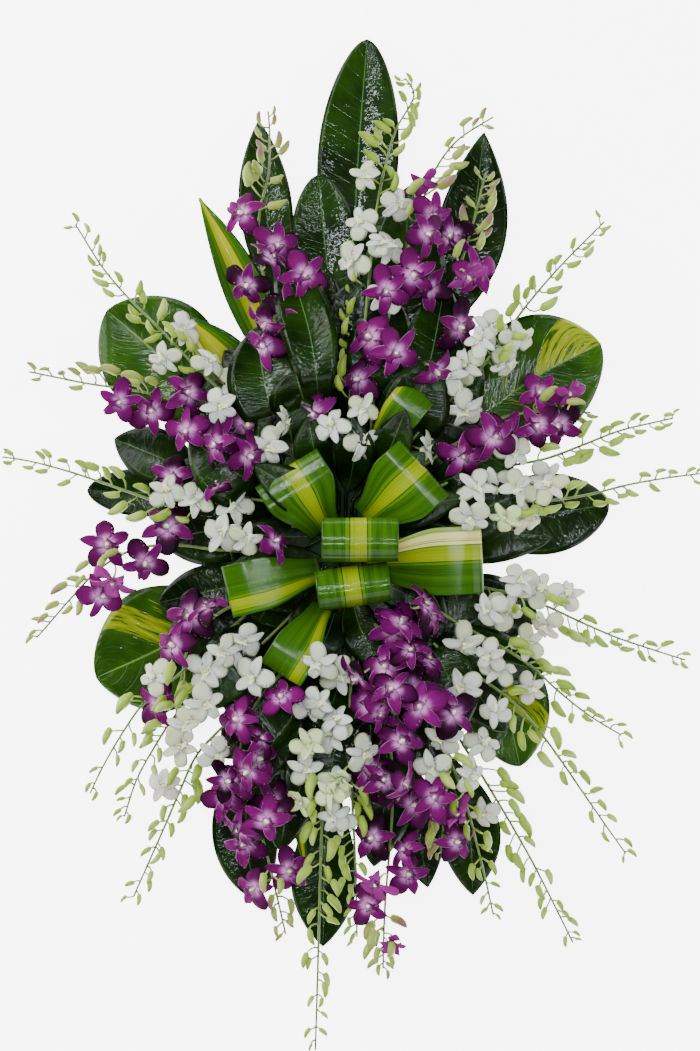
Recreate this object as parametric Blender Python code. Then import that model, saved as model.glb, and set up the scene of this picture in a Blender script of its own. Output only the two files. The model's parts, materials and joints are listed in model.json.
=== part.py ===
"""Orchid wreath: a tall spray of dendrobium orchids and leaves that stand in floral foam on a
shallow tray. The part lies on its back: +Z points at the viewer, +Y is the top of the spray.
Routes and outlines are in centimetres, thicknesses and small sizes in millimetres."""
import math
import random

import bpy
import numpy as np

MM = 0.001
SHARP_ANGLE = 38.0

# Holder
FOAM_WIDTH = 110.0
FOAM_LENGTH = 230.0
FOAM_HEIGHT = 76.0
TRAY_FLOOR = 3.0
TRAY_WALL = 2.5
TRAY_RIM = 14.0
SEAT_GAP = 0.3
FOAM_BOTTOM = TRAY_FLOOR + SEAT_GAP
FOAM_TOP = FOAM_BOTTOM + FOAM_HEIGHT

# Stems and stalks
STEM_RADIUS = 2.0
TIP_RADIUS = 1.0
STEM_DEPTH = 26.0
STALK_RADIUS = 2.4
STALK_DEPTH = 24.0
HOLE_PLAY = 0.35
HOLE_RELIEF = 0.4
STEM_SIDES = 3
HOLE_SIDES = 5
# Height of a stem over the foam where it leaves it, how far it arches up and how far its tip droops
STEM_START = 14.0
STEM_ARCH = 12.0
STEM_DROOP = 46.0

# Leaves
BLADE_THICKNESS = 1.2
MIDRIB_RISE = 0.5
LEAF_CLEARANCE = 3.5
# For each kind of leaf: share of the route that is bare stalk, fullness of the outline, fold along
# the midrib, wave of the edge (mm), columns and rows of its skin
LEAF_KINDS = {
    "dark": (0.3, 0.85, 0.16, 2.0, 3, 6),
    "broad": (0.3, 0.58, 0.16, 2.0, 3, 6),
    "striped": (0.14, 0.95, 0.3, 1.0, 3, 6),
    "pothos": (0.26, 0.62, 0.1, 5.0, 5, 7),
}

# Rolled leaf loops
LOOP_SEGMENTS = 10
LOOP_THICKNESS = 1.4
LOOP_OVERHANG = 8.0
LOOP_WAIST = 0.48
LOOP_PINCH = 0.5

# Blooms and buds: each bloom is somewhat smaller than the one before it on its stem
BLOOM_RADIUS = {"purple": 30.0, "white": 22.5}
FIRST_SIZE = 1.06
SIZE_LOSS = 0.16
PEDICEL_LENGTH = 24.0
PEDICEL_RADIUS = 1.3
BUD_LENGTH = 20.0
BUD_WIDTH = 9.0
BUD_PEDICEL = 11.0
PETAL_THICKNESS = 1.0
COLUMN_RISE = 0.16
BLOOM_DEPTH = 2.2
BLOOM_START = 10.0
# Where a flower may move along its stem (mm) and how far it may swing out (degrees)
SHIFTS = {"bloom": (0, 8, -8, 16, -16, 24, -24, 34, -34, 44), "bud": (0, 6, -6, 12, -12)}
SWINGS = {"bloom": (52, 66, 36), "bud": (62, 40, 80)}
SHIFT_COST = 0.12
SIDE_COST = 4.0
BLOCKED = 500.0
STATIONS_A_LENGTH = 7
# How far a straight length of stem may fall below its smooth line (mm)
SAG = 1.2

# Draping: a height field of what is already placed, in millimetres
CELL = 3.0
HALF_X = 440.0
HALF_Y = 640.0
SURFACE_CLEARANCE = 8.0
DRAPE_CLEARANCE = 2.0
DRAPE_BEND = 0.0045
ROUTE_STEP = 6.0
CURVE_DETAIL = 24

# Leaves: name, height of the stalk's hole over the tray's back (mm), route from the foam's side to
# the tip (cm), greatest half width (cm), share of the blade where it is widest, kind
LEAVES = [
    ("top_leaf", 24, [(0.5, 11.5), (0.8, 26), (1.3, 40), (2.4, 54.9)], 4.4, 0.56, "broad"),
    ("right_dark_leaf", 24, [(5.5, 1.6), (14, 2.6), (22, 3.4), (28.7, 4.4)], 4.4, 0.55, "broad"),
    ("left_dark_leaf", 24, [(-5.5, 3.0), (-14, 5.0), (-21, 5.6), (-28.0, 5.9)], 2.6, 0.62, "broad"),
    ("upper_right_leaf", 24, [(3.6, 11.5), (9, 22), (13.4, 33), (15.1, 44.8)], 3.9, 0.52, "dark"),
    ("upper_left_leaf", 24, [(-2.6, 11.5), (-6.6, 24), (-8.4, 35), (-9.4, 46.1)], 2.9, 0.6, "dark"),
    ("right_marbled_leaf", 36, [(5.5, 8.2), (14, 13.5), (21, 18.4), (27.7, 21.8)], 6.6, 0.58, "pothos"),
    ("left_marbled_leaf", 36, [(-5.5, 8.6), (-13, 14.5), (-19.5, 20.0), (-25.8, 25.4)], 6.4, 0.6, "pothos"),
    ("lower_left_marbled_leaf", 30, [(-5.5, -3.2), (-13, -7.2), (-20, -11.2), (-27.0, -14.4)], 6.8, 0.56,
     "pothos"),
    ("lower_right_leaf", 30, [(5.5, -5.4), (12, -10.6), (17.0, -17.0), (19.0, -24.0)], 5.2, 0.5, "pothos"),
    ("bottom_left_leaf", 24, [(-3.8, -11.5), (-8.4, -21), (-10.8, -30), (-9.6, -38.4)], 3.6, 0.6, "broad"),
    ("bottom_centre_leaf", 24, [(-0.8, -11.5), (-1.6, -24), (-2.2, -34), (-2.4, -43.6)], 3.6, 0.66, "dark"),
    ("bottom_right_leaf", 24, [(1.8, -11.5), (5.0, -22), (7.6, -30), (9.0, -37.2)], 3.0, 0.6, "dark"),
    ("lower_right_dark_leaf", 24, [(4.6, -11.5), (9.6, -22), (13.2, -30), (13.9, -38.0)], 3.4, 0.62,
     "dark"),
    ("oval_leaf", 40, [(0.2, 11.5), (-0.8, 22), (-2.0, 31), (-2.9, 40.0)], 3.6, 0.6, "broad"),
    ("upper_left_striped_leaf", 40, [(-3.8, 11.5), (-8.4, 22), (-12.4, 31), (-15.8, 37.6)], 2.3, 0.5,
     "striped"),
    ("left_striped_leaf", 47, [(-5.5, 9.8), (-9.6, 15.5), (-13.5, 20.6), (-17.4, 24.8)], 2.8, 0.5,
     "striped"),
    ("bottom_strap_leaf", 44, [(-2.4, -11.5), (-5.0, -18), (-5.2, -27), (-4.2, -35.4)], 1.1, 0.5,
     "striped"),
    ("upright_striped_leaf", 46, [(2.6, 11.5), (5.2, 17), (7.0, 23.5), (8.2, 30.6)], 2.6, 0.5, "striped"),
    ("right_inner_leaf", 46, [(5.5, 6.4), (9.6, 9.0), (13.4, 11.4), (17.0, 13.8)], 2.5, 0.5, "dark"),
    ("left_inner_leaf", 47, [(-5.5, 7.2), (-8.2, 8.6), (-10.6, 11.2), (-12.4, 14.6)], 3.4, 0.5, "dark"),
]

# Sprays: name, root on the foam's top (cm), route to the tip (cm), colour, how many blooms and buds,
# share of the route where the blooms start and where they end
SPRAYS = [
    ("purple_spray_left_upper", (-4.4, 6.0), [(-6.6, 8.2), (-11.3, 11.3), (-18.9, 15.7), (-27.3, 17.3),
                                              (-34.1, 18.7)], "purple", 6, 3, 0.22, 0.56),
    ("purple_spray_left_short", (-4.4, 4.2), [(-6.6, 4.4), (-11.3, 5.1), (-19.4, 5.9)],
     "purple", 3, 0, 0.6, 1.0),
    ("purple_spray_left", (-4.4, -0.4), [(-6.8, -0.6), (-12.4, -0.6), (-20.0, 0.0), (-25.9, -2.2),
                                         (-33.3, -10.0)], "purple", 4, 3, 0.4, 0.62),
    ("purple_spray_lower_left", (-4.4, -4.4), [(-6.8, -5.0), (-10.3, -5.9), (-16.2, -9.7),
                                               (-18.6, -20.2)], "purple", 5, 0, 0.42, 1.0),
    ("purple_spray_bottom_left", (-2.7, -10.2), [(-4.0, -11.8), (-6.5, -13.5), (-10.0, -17.8),
                                                 (-11.3, -24.3), (-9.0, -30.8), (-6.4, -42.0)],
     "purple", 7, 2, 0.12, 0.8),
    ("purple_spray_upper_left", (-3.4, 10.2), [(-4.2, 13.0), (-5.9, 18.4), (-8.1, 26.5), (-9.4, 33.5),
                                               (-8.1, 41.0), (-8.3, 46.8)], "purple", 6, 3, 0.16, 0.72),
    ("purple_spray_upper_right", (4.4, 9.8), [(4.9, 12.0), (8.6, 18.9), (11.1, 26.5), (13.3, 32.9),
                                              (15.2, 40.2)], "purple", 4, 3, 0.42, 0.7),
    ("purple_spray_right", (4.4, 6.0), [(6.6, 7.2), (11.3, 10.5), (17.8, 14.0), (26.5, 14.3)],
     "purple", 6, 1, 0.3, 0.76),
    ("purple_spray_bottom_right", (2.7, -10.2), [(3.2, -12.4), (4.3, -16.7), (5.1, -26.5), (4.3, -38.9),
                                                 (4.1, -45.7)], "purple", 7, 3, 0.12, 0.84),
    ("purple_spray_top_right", (2.8, 10.2), [(2.8, 13.0), (3.6, 18.9), (5.4, 27.5), (7.5, 34.0),
                                             (9.2, 39.4), (12.2, 43.7), (16.0, 46.2)],
     "purple", 7, 3, 0.06, 0.64),
    ("purple_spray_top_centre", (-1.3, 10.2), [(-1.6, 13.0), (-2.9, 18.9), (-4.3, 24.3), (-6.2, 29.9)],
     "purple", 6, 0, 0.1, 1.0),
    ("white_spray_upper_left", (-4.4, 8.0), [(-5.6, 9.6), (-7.8, 12.2), (-13.5, 16.7), (-19.4, 22.7),
                                             (-25.2, 28.7), (-29.1, 34.6)], "white", 7, 5, 0.1, 0.46),
    ("white_spray_left", (-4.4, 2.0), [(-6.6, 2.0), (-10.8, 2.2), (-17.3, 3.7), (-25.7, 6.6),
                                       (-32.4, 8.7), (-37.0, 9.5)], "white", 6, 5, 0.08, 0.38),
    ("white_spray_lower_left_outer", (-4.4, -2.4), [(-6.6, -4.2), (-10.3, -7.2), (-16.7, -13.0),
                                                    (-21.8, -17.2), (-25.7, -23.2), (-27.5, -26.8)],
     "white", 4, 3, 0.14, 0.48),
    ("white_spray_lower_left", (-4.4, -6.4), [(-6.2, -7.8), (-9.7, -11.3), (-17.3, -17.2),
                                              (-22.4, -25.2), (-23.8, -29.3)], "white", 4, 4, 0.12, 0.5),
    ("white_spray_lower_left_inner", (-4.4, -8.4), [(-5.6, -10.4), (-9.2, -15.7), (-15.6, -22.1),
                                                    (-18.5, -28.3), (-22.8, -37.9)],
     "white", 4, 4, 0.2, 0.54),
    ("white_spray_right_upper", (4.4, 4.2), [(6.6, 4.8), (13.5, 7.6), (22.0, 9.4), (28.9, 12.1),
                                             (35.4, 13.7)], "white", 3, 4, 0.3, 0.56),
    ("white_spray_right", (4.4, 2.2), [(6.6, 2.6), (13.5, 4.6), (23.2, 4.9), (31.9, 6.8), (38.3, 7.7)],
     "white", 6, 4, 0.16, 0.42),
    ("white_spray_right_lower", (4.4, 0.2), [(6.6, -0.8), (12.4, -3.8), (20.0, -5.9), (28.6, -9.7),
                                             (36.7, -12.4)], "white", 7, 5, 0.16, 0.46),
    ("white_spray_right_low", (4.4, -3.6), [(6.4, -4.6), (11.3, -7.9), (18.9, -12.2), (24.8, -17.3),
                                            (29.8, -20.5)], "white", 4, 4, 0.3, 0.5),
    ("white_spray_lower_right_outer", (4.4, -5.4), [(6.0, -6.8), (10.3, -11.3), (17.3, -16.2),
                                                    (21.5, -20.8), (27.1, -28.8), (30.3, -33.3)],
     "white", 3, 4, 0.28, 0.45),
    ("white_spray_lower_right", (4.4, -7.2), [(5.8, -9.4), (9.2, -15.7), (15.0, -25.2), (19.9, -33.6),
                                              (24.6, -42.9)], "white", 3, 5, 0.3, 0.52),
    ("purple_spray_lower_right", (4.4, -9.4), [(5.8, -11.4), (8.8, -15.2), (10.6, -20.0), (10.9, -26.0),
                                               (10.3, -33.2)], "purple", 6, 2, 0.16, 0.84),
    ("white_spray_lower_right_inner", (3.2, -8.4), [(4.8, -10.6), (8.1, -16.7), (12.3, -25.7),
                                                    (15.0, -35.5), (16.0, -39.9)],
     "white", 2, 4, 0.36, 0.5),
    ("white_spray_upper_right", (4.4, 7.8), [(5.6, 9.4), (9.2, 13.5), (14.6, 18.9), (18.4, 24.3),
                                             (22.7, 29.5), (28.0, 34.9)], "white", 8, 5, 0.1, 0.48),
    ("purple_spray_centre_low", (4.4, -1.8), [(6.0, -2.4), (7.4, -5.0), (6.4, -9.6), (5.2, -15.2)],
     "purple", 4, 0, 0.06, 1.0),
    ("white_spray_top", (0.8, 10.2), [(0.9, 13.0), (1.6, 18.9), (2.5, 27.5), (3.6, 37.3), (5.5, 44.8),
                                      (7.5, 48.6), (6.5, 50.4)], "white", 6, 4, 0.36, 0.72),
    ("white_spray_bottom_short", (1.0, -10.2), [(0.9, -12.4), (0.5, -16.7), (0.6, -23.2), (1.1, -34.0),
                                                (1.3, -42.3)], "white", 5, 4, 0.06, 0.48),
    ("white_spray_bottom", (-0.9, -10.2), [(-1.2, -12.4), (-1.9, -16.7), (-2.3, -23.2), (-2.6, -34.0),
                                           (-2.9, -44.8), (-3.2, -54.5)], "white", 6, 6, 0.04, 0.36),
    ("white_spray_centre", (0.4, 7.8), [(0.5, 9.6), (0.5, 13.5), (0.9, 22.1), (1.6, 30.6)],
     "white", 3, 3, 0.02, 0.36),
]

# Loops of the bow: name, foot of the stalk and outer fold (cm), width and height (cm), tilt
# (degrees) and shape: a strip folded back on itself, or a short roll that lies across the stalks
LOOPS = [
    ("lower_left_loop", (-3.4, -2.8), (-12.6, -5.0), 5.6, 3.6, 3, "folded"),
    ("bottom_left_loop", (-2.8, -7.2), (-6.9, -13.8), 5.0, 3.6, 3, "folded"),
    ("upper_folded_loop", (3.4, 10.9), (8.0, 16.6), 4.2, 2.6, 0, "folded"),
    ("right_loop", (3.3, -2.0), (14.7, -1.5), 7.2, 4.2, 3, "folded"),
    ("upper_right_loop", (2.9, 3.3), (8.6, 8.4), 7.9, 4.2, 5, "folded"),
    ("upper_left_loop", (-2.6, 2.4), (-6.4, 8.4), 7.8, 4.2, 5, "folded"),
    ("bottom_loop", (1.2, -6.4), (0.6, -2.2), 7.8, 3.8, 0, "rolled"),
    ("centre_loop", (1.6, -1.7), (1.6, 2.9), 8.1, 4.0, 0, "rolled"),
]

COLOURS = {
    "dark": ((0.014, 0.060, 0.016), 0.28),
    "broad": ((0.014, 0.060, 0.016), 0.28),
    "pothos": ((0.040, 0.130, 0.020), 0.3),
    "striped": ((0.120, 0.260, 0.015), 0.3),
    "purple": ((0.260, 0.006, 0.240), 0.5),
    "white": ((0.800, 0.820, 0.720), 0.5),
    "loop": ((0.150, 0.300, 0.012), 0.25),
    "foam": ((0.030, 0.120, 0.050), 0.95),
    "tray": ((0.010, 0.045, 0.018), 0.5),
}


def clear_scene():
    for thing in list(bpy.data.objects):
        bpy.data.objects.remove(thing, do_unlink=True)


def material(name):
    found = bpy.data.materials.get(name)
    if found:
        return found
    colour, roughness = COLOURS[name]
    made = bpy.data.materials.new(name)
    made.use_nodes = True
    shader = made.node_tree.nodes["Principled BSDF"]
    shader.inputs["Base Color"].default_value = (*colour, 1.0)
    shader.inputs["Roughness"].default_value = roughness
    shader.inputs["Metallic"].default_value = 0.0
    return made


def shade(mesh):
    """Smooth shading, with edges over the sharp angle left sharp."""
    mesh.shade_smooth()
    mesh.set_sharp_from_angle(angle=math.radians(SHARP_ANGLE))


def solid(name, points, faces, colour):
    """An object from points in millimetres."""
    mesh = bpy.data.meshes.new(name)
    mesh.from_pydata((np.asarray(points, float) * MM).tolist(), [], faces)
    mesh.materials.append(material(colour))
    shade(mesh)
    made = bpy.data.objects.new(name, mesh)
    bpy.context.scene.collection.objects.link(made)
    return made


def without_folds(mesh):
    """The mesh in triangles, without pairs that lie back to back on the same three corners."""
    mesh.calc_loop_triangles()
    corners = np.array([triangle.vertices[:] for triangle in mesh.loop_triangles])
    _, where, count = np.unique(np.sort(corners, axis=1), axis=0, return_inverse=True, return_counts=True)
    kept = corners[count[where.ravel()] == 1]
    used, faces = np.unique(kept, return_inverse=True)
    flat = bpy.data.meshes.new(mesh.name)
    flat.from_pydata([mesh.vertices[i].co[:] for i in used], [], faces.reshape(-1, 3).tolist())
    flat.materials.append(mesh.materials[0])
    shade(flat)
    return flat


def modified(base, name, operation, pieces):
    """The base with the pieces united to it or cut from it, as one plain mesh."""
    group = bpy.data.collections.new(name + "_pieces")
    for piece in pieces:
        for owner in list(piece.users_collection):
            owner.objects.unlink(piece)
        group.objects.link(piece)
    bpy.context.scene.collection.children.link(group)
    boolean = base.modifiers.new("join", "BOOLEAN")
    boolean.operation = operation
    boolean.operand_type = "COLLECTION"
    boolean.collection = group
    boolean.solver = "EXACT"
    graph = bpy.context.evaluated_depsgraph_get()
    mesh = bpy.data.meshes.new_from_object(base.evaluated_get(graph), depsgraph=graph)
    base.modifiers.remove(boolean)
    base.data = without_folds(mesh)
    for piece in list(group.objects):
        bpy.data.objects.remove(piece, do_unlink=True)
    bpy.data.collections.remove(group)
    return base


def smooth_route(points, step=ROUTE_STEP):
    """Catmull-Rom curve through the points, at even steps of its length."""
    route = np.asarray(points, float)
    ends = np.vstack([2 * route[0] - route[1], route, 2 * route[-1] - route[-2]])
    dense = []
    for i in range(len(route) - 1):
        a, b, c, d = ends[i:i + 4]
        for t in np.linspace(0, 1, CURVE_DETAIL, endpoint=False):
            dense.append(0.5 * (2 * b + (c - a) * t + (2 * a - 5 * b + 4 * c - d) * t * t
                                + (3 * b - a - 3 * c + d) * t ** 3))
    dense = np.array(dense + [route[-1]])
    along = np.concatenate([[0], np.cumsum(np.linalg.norm(np.diff(dense, axis=0), axis=1))])
    stations = np.linspace(0, along[-1], max(4, int(along[-1] / step) + 1))
    return stations, np.stack([np.interp(stations, along, dense[:, k]) for k in range(dense.shape[1])], 1)


def sideways(route):
    """Unit vectors along the route and to its left, in the plane."""
    ahead = np.gradient(route, axis=0)
    ahead /= np.linalg.norm(ahead, axis=1)[:, None]
    return ahead, np.stack([-ahead[:, 1], ahead[:, 0]], 1)


class Heights:
    """Highest point of what is already placed over each cell of the surface."""

    def __init__(self):
        self.size = (int(2 * HALF_X / CELL), int(2 * HALF_Y / CELL))
        self.top = np.zeros(self.size)

    def cells(self, points):
        x = np.clip(((points[:, 0] + HALF_X) / CELL).astype(int), 1, self.size[0] - 2)
        y = np.clip(((points[:, 1] + HALF_Y) / CELL).astype(int), 1, self.size[1] - 2)
        return x, y

    def needed(self, points):
        """How high above the zero of their own heights the points have to be lifted."""
        x, y = self.cells(points)
        below = self.top[x, y]
        gap = np.where(below > 0, DRAPE_CLEARANCE, SURFACE_CLEARANCE)
        return below + gap - points[:, 2]

    def place(self, points):
        x, y = self.cells(points)
        for i in (-1, 0, 1):
            for j in (-1, 0, 1):
                np.maximum.at(self.top, (x + i, y + j), points[:, 2])


def drape(stations, base, at, needed):
    """Smallest smooth height along the route that is above the base and lifts each sample clear."""
    height = base.copy()
    for place, need in zip(at, needed):
        height = np.maximum(height, need - DRAPE_BEND * (stations - place) ** 2)
    return height


def worst(at, needed, step=ROUTE_STEP):
    """The greatest need near each stretch of the route."""
    bins = {}
    for place, need in zip(at, needed):
        key = int(round(place / step))
        if need > bins.get(key, (-1e9, 0))[0]:
            bins[key] = (need, place)
    return [b[1] for b in bins.values()], [b[0] for b in bins.values()]


def tube(points, radii, sides, turn=0.0):
    """A round-ended polygon tube along the points, its frame carried along without twist."""
    route = np.asarray(points, float)
    ahead = np.gradient(route, axis=0)
    ahead /= np.linalg.norm(ahead, axis=1)[:, None]
    side = np.cross(ahead[0], [0.31, 0.17, 0.93] if abs(ahead[0][2]) < 0.9 else [1.0, 0.2, 0.0])
    rings = []
    for centre, way, radius in zip(route, ahead, radii):
        side = side - way * side.dot(way)
        side /= np.linalg.norm(side)
        other = np.cross(way, side)
        angles = turn + 2 * math.pi * np.arange(sides) / sides
        rings.append(centre + radius * (np.outer(np.cos(angles), side) + np.outer(np.sin(angles), other)))
    vertices = np.vstack(rings)
    faces = []
    for i in range(len(rings) - 1):
        for j in range(sides):
            a, b = i * sides + j, i * sides + (j + 1) % sides
            faces.append((a, b, b + sides, a + sides))
    faces.append(tuple(reversed(range(sides))))
    faces.append(tuple(range(len(vertices) - sides, len(vertices))))
    return vertices, faces


def box_points(low, high):
    corners = [(x, y, z) for z in (low[2], high[2]) for y in (low[1], high[1]) for x in (low[0], high[0])]
    return corners, [(0, 2, 3, 1), (4, 5, 7, 6), (0, 1, 5, 4), (1, 3, 7, 5), (3, 2, 6, 7), (2, 0, 4, 6)]


def half_width(t, greatest, widest, kind):
    """Half width of a blade, t from 0 at its base to 1 at its tip."""
    power = math.log(0.5) / math.log(widest)
    fullness = LEAF_KINDS[kind][1]
    t = np.clip(t, 0, 1)
    return greatest * np.maximum(np.sin(math.pi * t ** power), 0) ** fullness


class Leaf:
    """A leaf: its stalk stands in the foam's side and the blade follows the draped route."""

    def __init__(self, name, hole, route, width, widest, kind):
        self.name, self.kind, self.hole = name, kind, hole
        bare, _, self.fold, self.wave, self.columns, self.blade_rows = LEAF_KINDS[kind]
        points = np.array(route) * 10.0
        if abs(points[0][0]) >= FOAM_WIDTH / 2:
            self.out = np.array([math.copysign(1, points[0][0]), 0.0])
        else:
            self.out = np.array([0.0, math.copysign(1, points[0][1])])
        self.root = points[0]
        points[0] = points[0] + 5.0 * self.out
        self.stations, self.route = smooth_route(points)
        self.ahead, self.left = sideways(self.route)
        self.ahead[0], self.left[0] = self.out, (-self.out[1], self.out[0])
        self.total = self.stations[-1]
        self.blade_start = bare * self.total
        self.t = (self.stations - self.blade_start) / (self.total - self.blade_start)
        blade = half_width(self.t, width * 10.0, widest, kind)
        self.half = np.maximum(np.where(self.t > 0, blade, 0), STALK_RADIUS * 0.85)
        self.half[-1] = 0.9

    def surface(self, lateral):
        """Height over the midrib at each station for a share of the half width from -1 to 1."""
        fold = self.fold * self.half * abs(lateral)
        ripple = self.wave * lateral ** 2 * np.sin(9.0 * self.t + 2.0 * lateral) * (self.t > 0)
        return np.where(self.t > 0, fold, 0) + ripple * np.clip(self.half / 20.0, 0, 1)

    def samples(self, height, lift):
        """Points of the blade between its rows and columns, with the station of each."""
        rows = self.rows()
        shares = np.linspace(-1, 1, self.columns)
        bends = np.array([[np.interp(s, self.stations, self.surface(share)) for share in shares]
                          for s in rows])
        half = np.interp(rows, self.stations, self.half)
        found, at = [], []
        for share in np.linspace(-1, 1, 2 * max(1, int(self.half.max() / 3.0)) + 1):
            bend = [np.interp(share, shares, line) for line in bends]
            wide = np.interp(self.stations, rows, half)
            z = np.interp(self.stations, rows, np.interp(rows, self.stations, height) + bend) + lift
            found.append(np.column_stack([self.route + self.left * (wide * share)[:, None], z]))
            at.append(self.stations)
        return np.vstack(found), np.concatenate(at)

    def rows(self):
        """Stations of the blade's cross sections."""
        blade = self.total - self.blade_start
        return np.array([0, self.blade_start * 0.96, *(self.blade_start + blade
                                                       * np.linspace(0.09, 1.0, self.blade_rows))])

    def drape_on(self, heights):
        zero = np.zeros(len(self.stations))
        share = self.stations / self.total
        base = self.hole + 10.0 * np.sin(math.pi * share) - 4.0 * share
        points, at = self.samples(zero, -LEAF_CLEARANCE)
        needed = heights.needed(points)
        near_root = at > 30.0
        lifted = drape(self.stations, base, *worst(at[near_root], needed[near_root]))
        ease = np.clip(self.stations / 60.0, 0, 1)
        ease = ease * ease * (3 - 2 * ease)
        self.height = self.hole + (lifted - self.hole) * ease
        heights.place(self.samples(self.height, DRAPE_CLEARANCE)[0])

    def build(self):
        shares = np.linspace(-1, 1, self.columns)
        rings = []
        inner = self.root - STALK_DEPTH * self.out
        left = np.array([-self.out[1], self.out[0]])
        stalk = STALK_RADIUS * 0.85
        rings.append(self.ring(inner, left, self.hole, stalk, np.zeros(self.columns), 1.0, shares))
        for s in self.rows():
            xy = np.array([np.interp(s, self.stations, self.route[:, k]) for k in (0, 1)])
            way = np.array([np.interp(s, self.stations, self.left[:, k]) for k in (0, 1)])
            z = np.interp(s, self.stations, self.height)
            half = np.interp(s, self.stations, self.half)
            bends = [np.interp(s, self.stations, self.surface(share)) for share in shares]
            stem = 1.0 if s <= self.blade_start else 0.0
            rings.append(self.ring(xy, way, z, half, bends, stem, shares))
        return solid(self.name, *self.shell(rings), self.kind)

    def ring(self, xy, way, z, half, bends, stem, shares):
        """Upper points from left to right, then lower points from right to left."""
        middle = 1.0 - np.abs(shares)
        edge = BLADE_THICKNESS / 2 + 0.2 * stem
        thick = edge + (MIDRIB_RISE + 0.9 * stem) * middle
        upper = [(*(xy - way * half * s), z + b + k) for s, b, k in zip(shares, bends, thick)]
        lower = [(*(xy - way * half * s), z + b - k) for s, b, k in zip(shares, bends, thick)]
        return upper + lower[::-1]

    def shell(self, rings):
        """Closed skin; upper and lower faces are split along the same diagonals."""
        n, m = self.columns, 2 * self.columns
        faces = []
        for i in range(len(rings) - 1):
            base, after = i * m, (i + 1) * m
            for j in range(m):
                k = (j + 1) % m
                a, b, c, d = base + j, base + k, after + k, after + j
                if j < n:
                    faces += [(a, b, c), (a, c, d)]
                else:
                    faces += [(a, b, d), (b, c, d)]
        last = (len(rings) - 1) * m
        for j in range(n - 1):
            faces.append((j, m - 1 - j, m - 2 - j, j + 1))
            faces.append((last + j, last + j + 1, last + m - 2 - j, last + m - 1 - j))
        return np.vstack([np.array(r) for r in rings]), faces


# Outline of a bloom: angle from its top (degrees), reach and lift as shares of its radius
PETALS = [(0, 1.0, 0.10), (32, 0.44, -0.05), (74, 1.0, 0.14), (116, 0.42, -0.05), (148, 0.96, 0.04),
          (180, 0.38, -0.04)]
OUTLINE = PETALS + [(360 - a, r, z) for a, r, z in reversed(PETALS[1:-1])]


def bloom_frame(facing, up):
    """Right, up and facing directions, square to each other."""
    facing = facing / np.linalg.norm(facing)
    up = up - facing * up.dot(facing)
    up /= np.linalg.norm(up)
    return np.cross(up, facing), up, facing


def bloom_outline(centre, frame, radius, share=1.0):
    right, up, facing = frame
    points = []
    for angle, reach, lift in OUTLINE:
        a = math.radians(angle)
        points.append(centre + radius * share * reach * (math.sin(a) * right + math.cos(a) * up)
                      + radius * lift * share * facing)
    return np.array(points)


def triangle_ring(centre, way, frame, radius):
    """Three points round a stalk that runs along way, in the same order as a bloom's outline."""
    right, up, _ = bloom_frame(way, frame[1])
    angles = 2 * math.pi * (np.arange(3) + 0.5) / 3
    return np.array([centre + radius * (math.sin(a) * right + math.cos(a) * up) for a in angles])


def bloom_shell(root, centre, frame, radius):
    """Five petals in one cupped star with a raised column, on a three-sided pedicel."""
    facing = frame[2]
    rim = bloom_outline(centre, frame, radius)
    n = len(rim)
    way = (centre - root) / np.linalg.norm(centre - root)
    neck = triangle_ring(centre - 1.4 * facing, facing, frame, PEDICEL_RADIUS)
    foot = triangle_ring(root, way, frame, PEDICEL_RADIUS)
    tips = rim[::2] - PETAL_THICKNESS * facing
    points = np.vstack([rim, tips, [centre + (1.5 + COLUMN_RISE * radius) * facing], neck, foot])
    middle = n + len(tips)
    below = [n + j // 2 if j % 2 == 0 else j for j in range(n)]
    faces = []
    for j in range(n):
        k = (j + 1) % n
        near, after = middle + 1 + 3 * j // n, middle + 1 + (3 * (j + 1) // n) % 3
        faces.append((j, middle, k))
        faces.append((j, k, below[j] if j % 2 == 0 else below[k]))
        faces.append((below[j], below[k], near))
        if after != near:
            faces.append((below[k], after, near))
            faces += [(near, after, after + 3), (near, after + 3, near + 3)]
    faces.append((middle + 4, middle + 5, middle + 6))
    return points, faces


def bud_shell(root, foot, way, length, width):
    """A three-sided pedicel that swells into a bud and ends in a point."""
    stalk_way = (foot - root) / np.linalg.norm(foot - root)
    frame = bloom_frame(stalk_way, np.array([0.3, 0.9, 0.31]))
    rings = [triangle_ring(root, stalk_way, frame, 0.8 * PEDICEL_RADIUS),
             triangle_ring(foot, stalk_way, frame, 0.8 * PEDICEL_RADIUS),
             triangle_ring(foot + way * length * 0.4, way, frame, width / 2)]
    points = np.vstack(rings + [[foot + way * length]])
    faces = [(0, 1, 2)]
    for i in (0, 3):
        for j in range(3):
            k = (j + 1) % 3
            faces += [(i + j, i + 3 + k, i + k), (i + j, i + 3 + j, i + 3 + k)]
    faces += [(6 + j, 9, 6 + (j + 1) % 3) for j in range(3)]
    return points, faces


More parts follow.
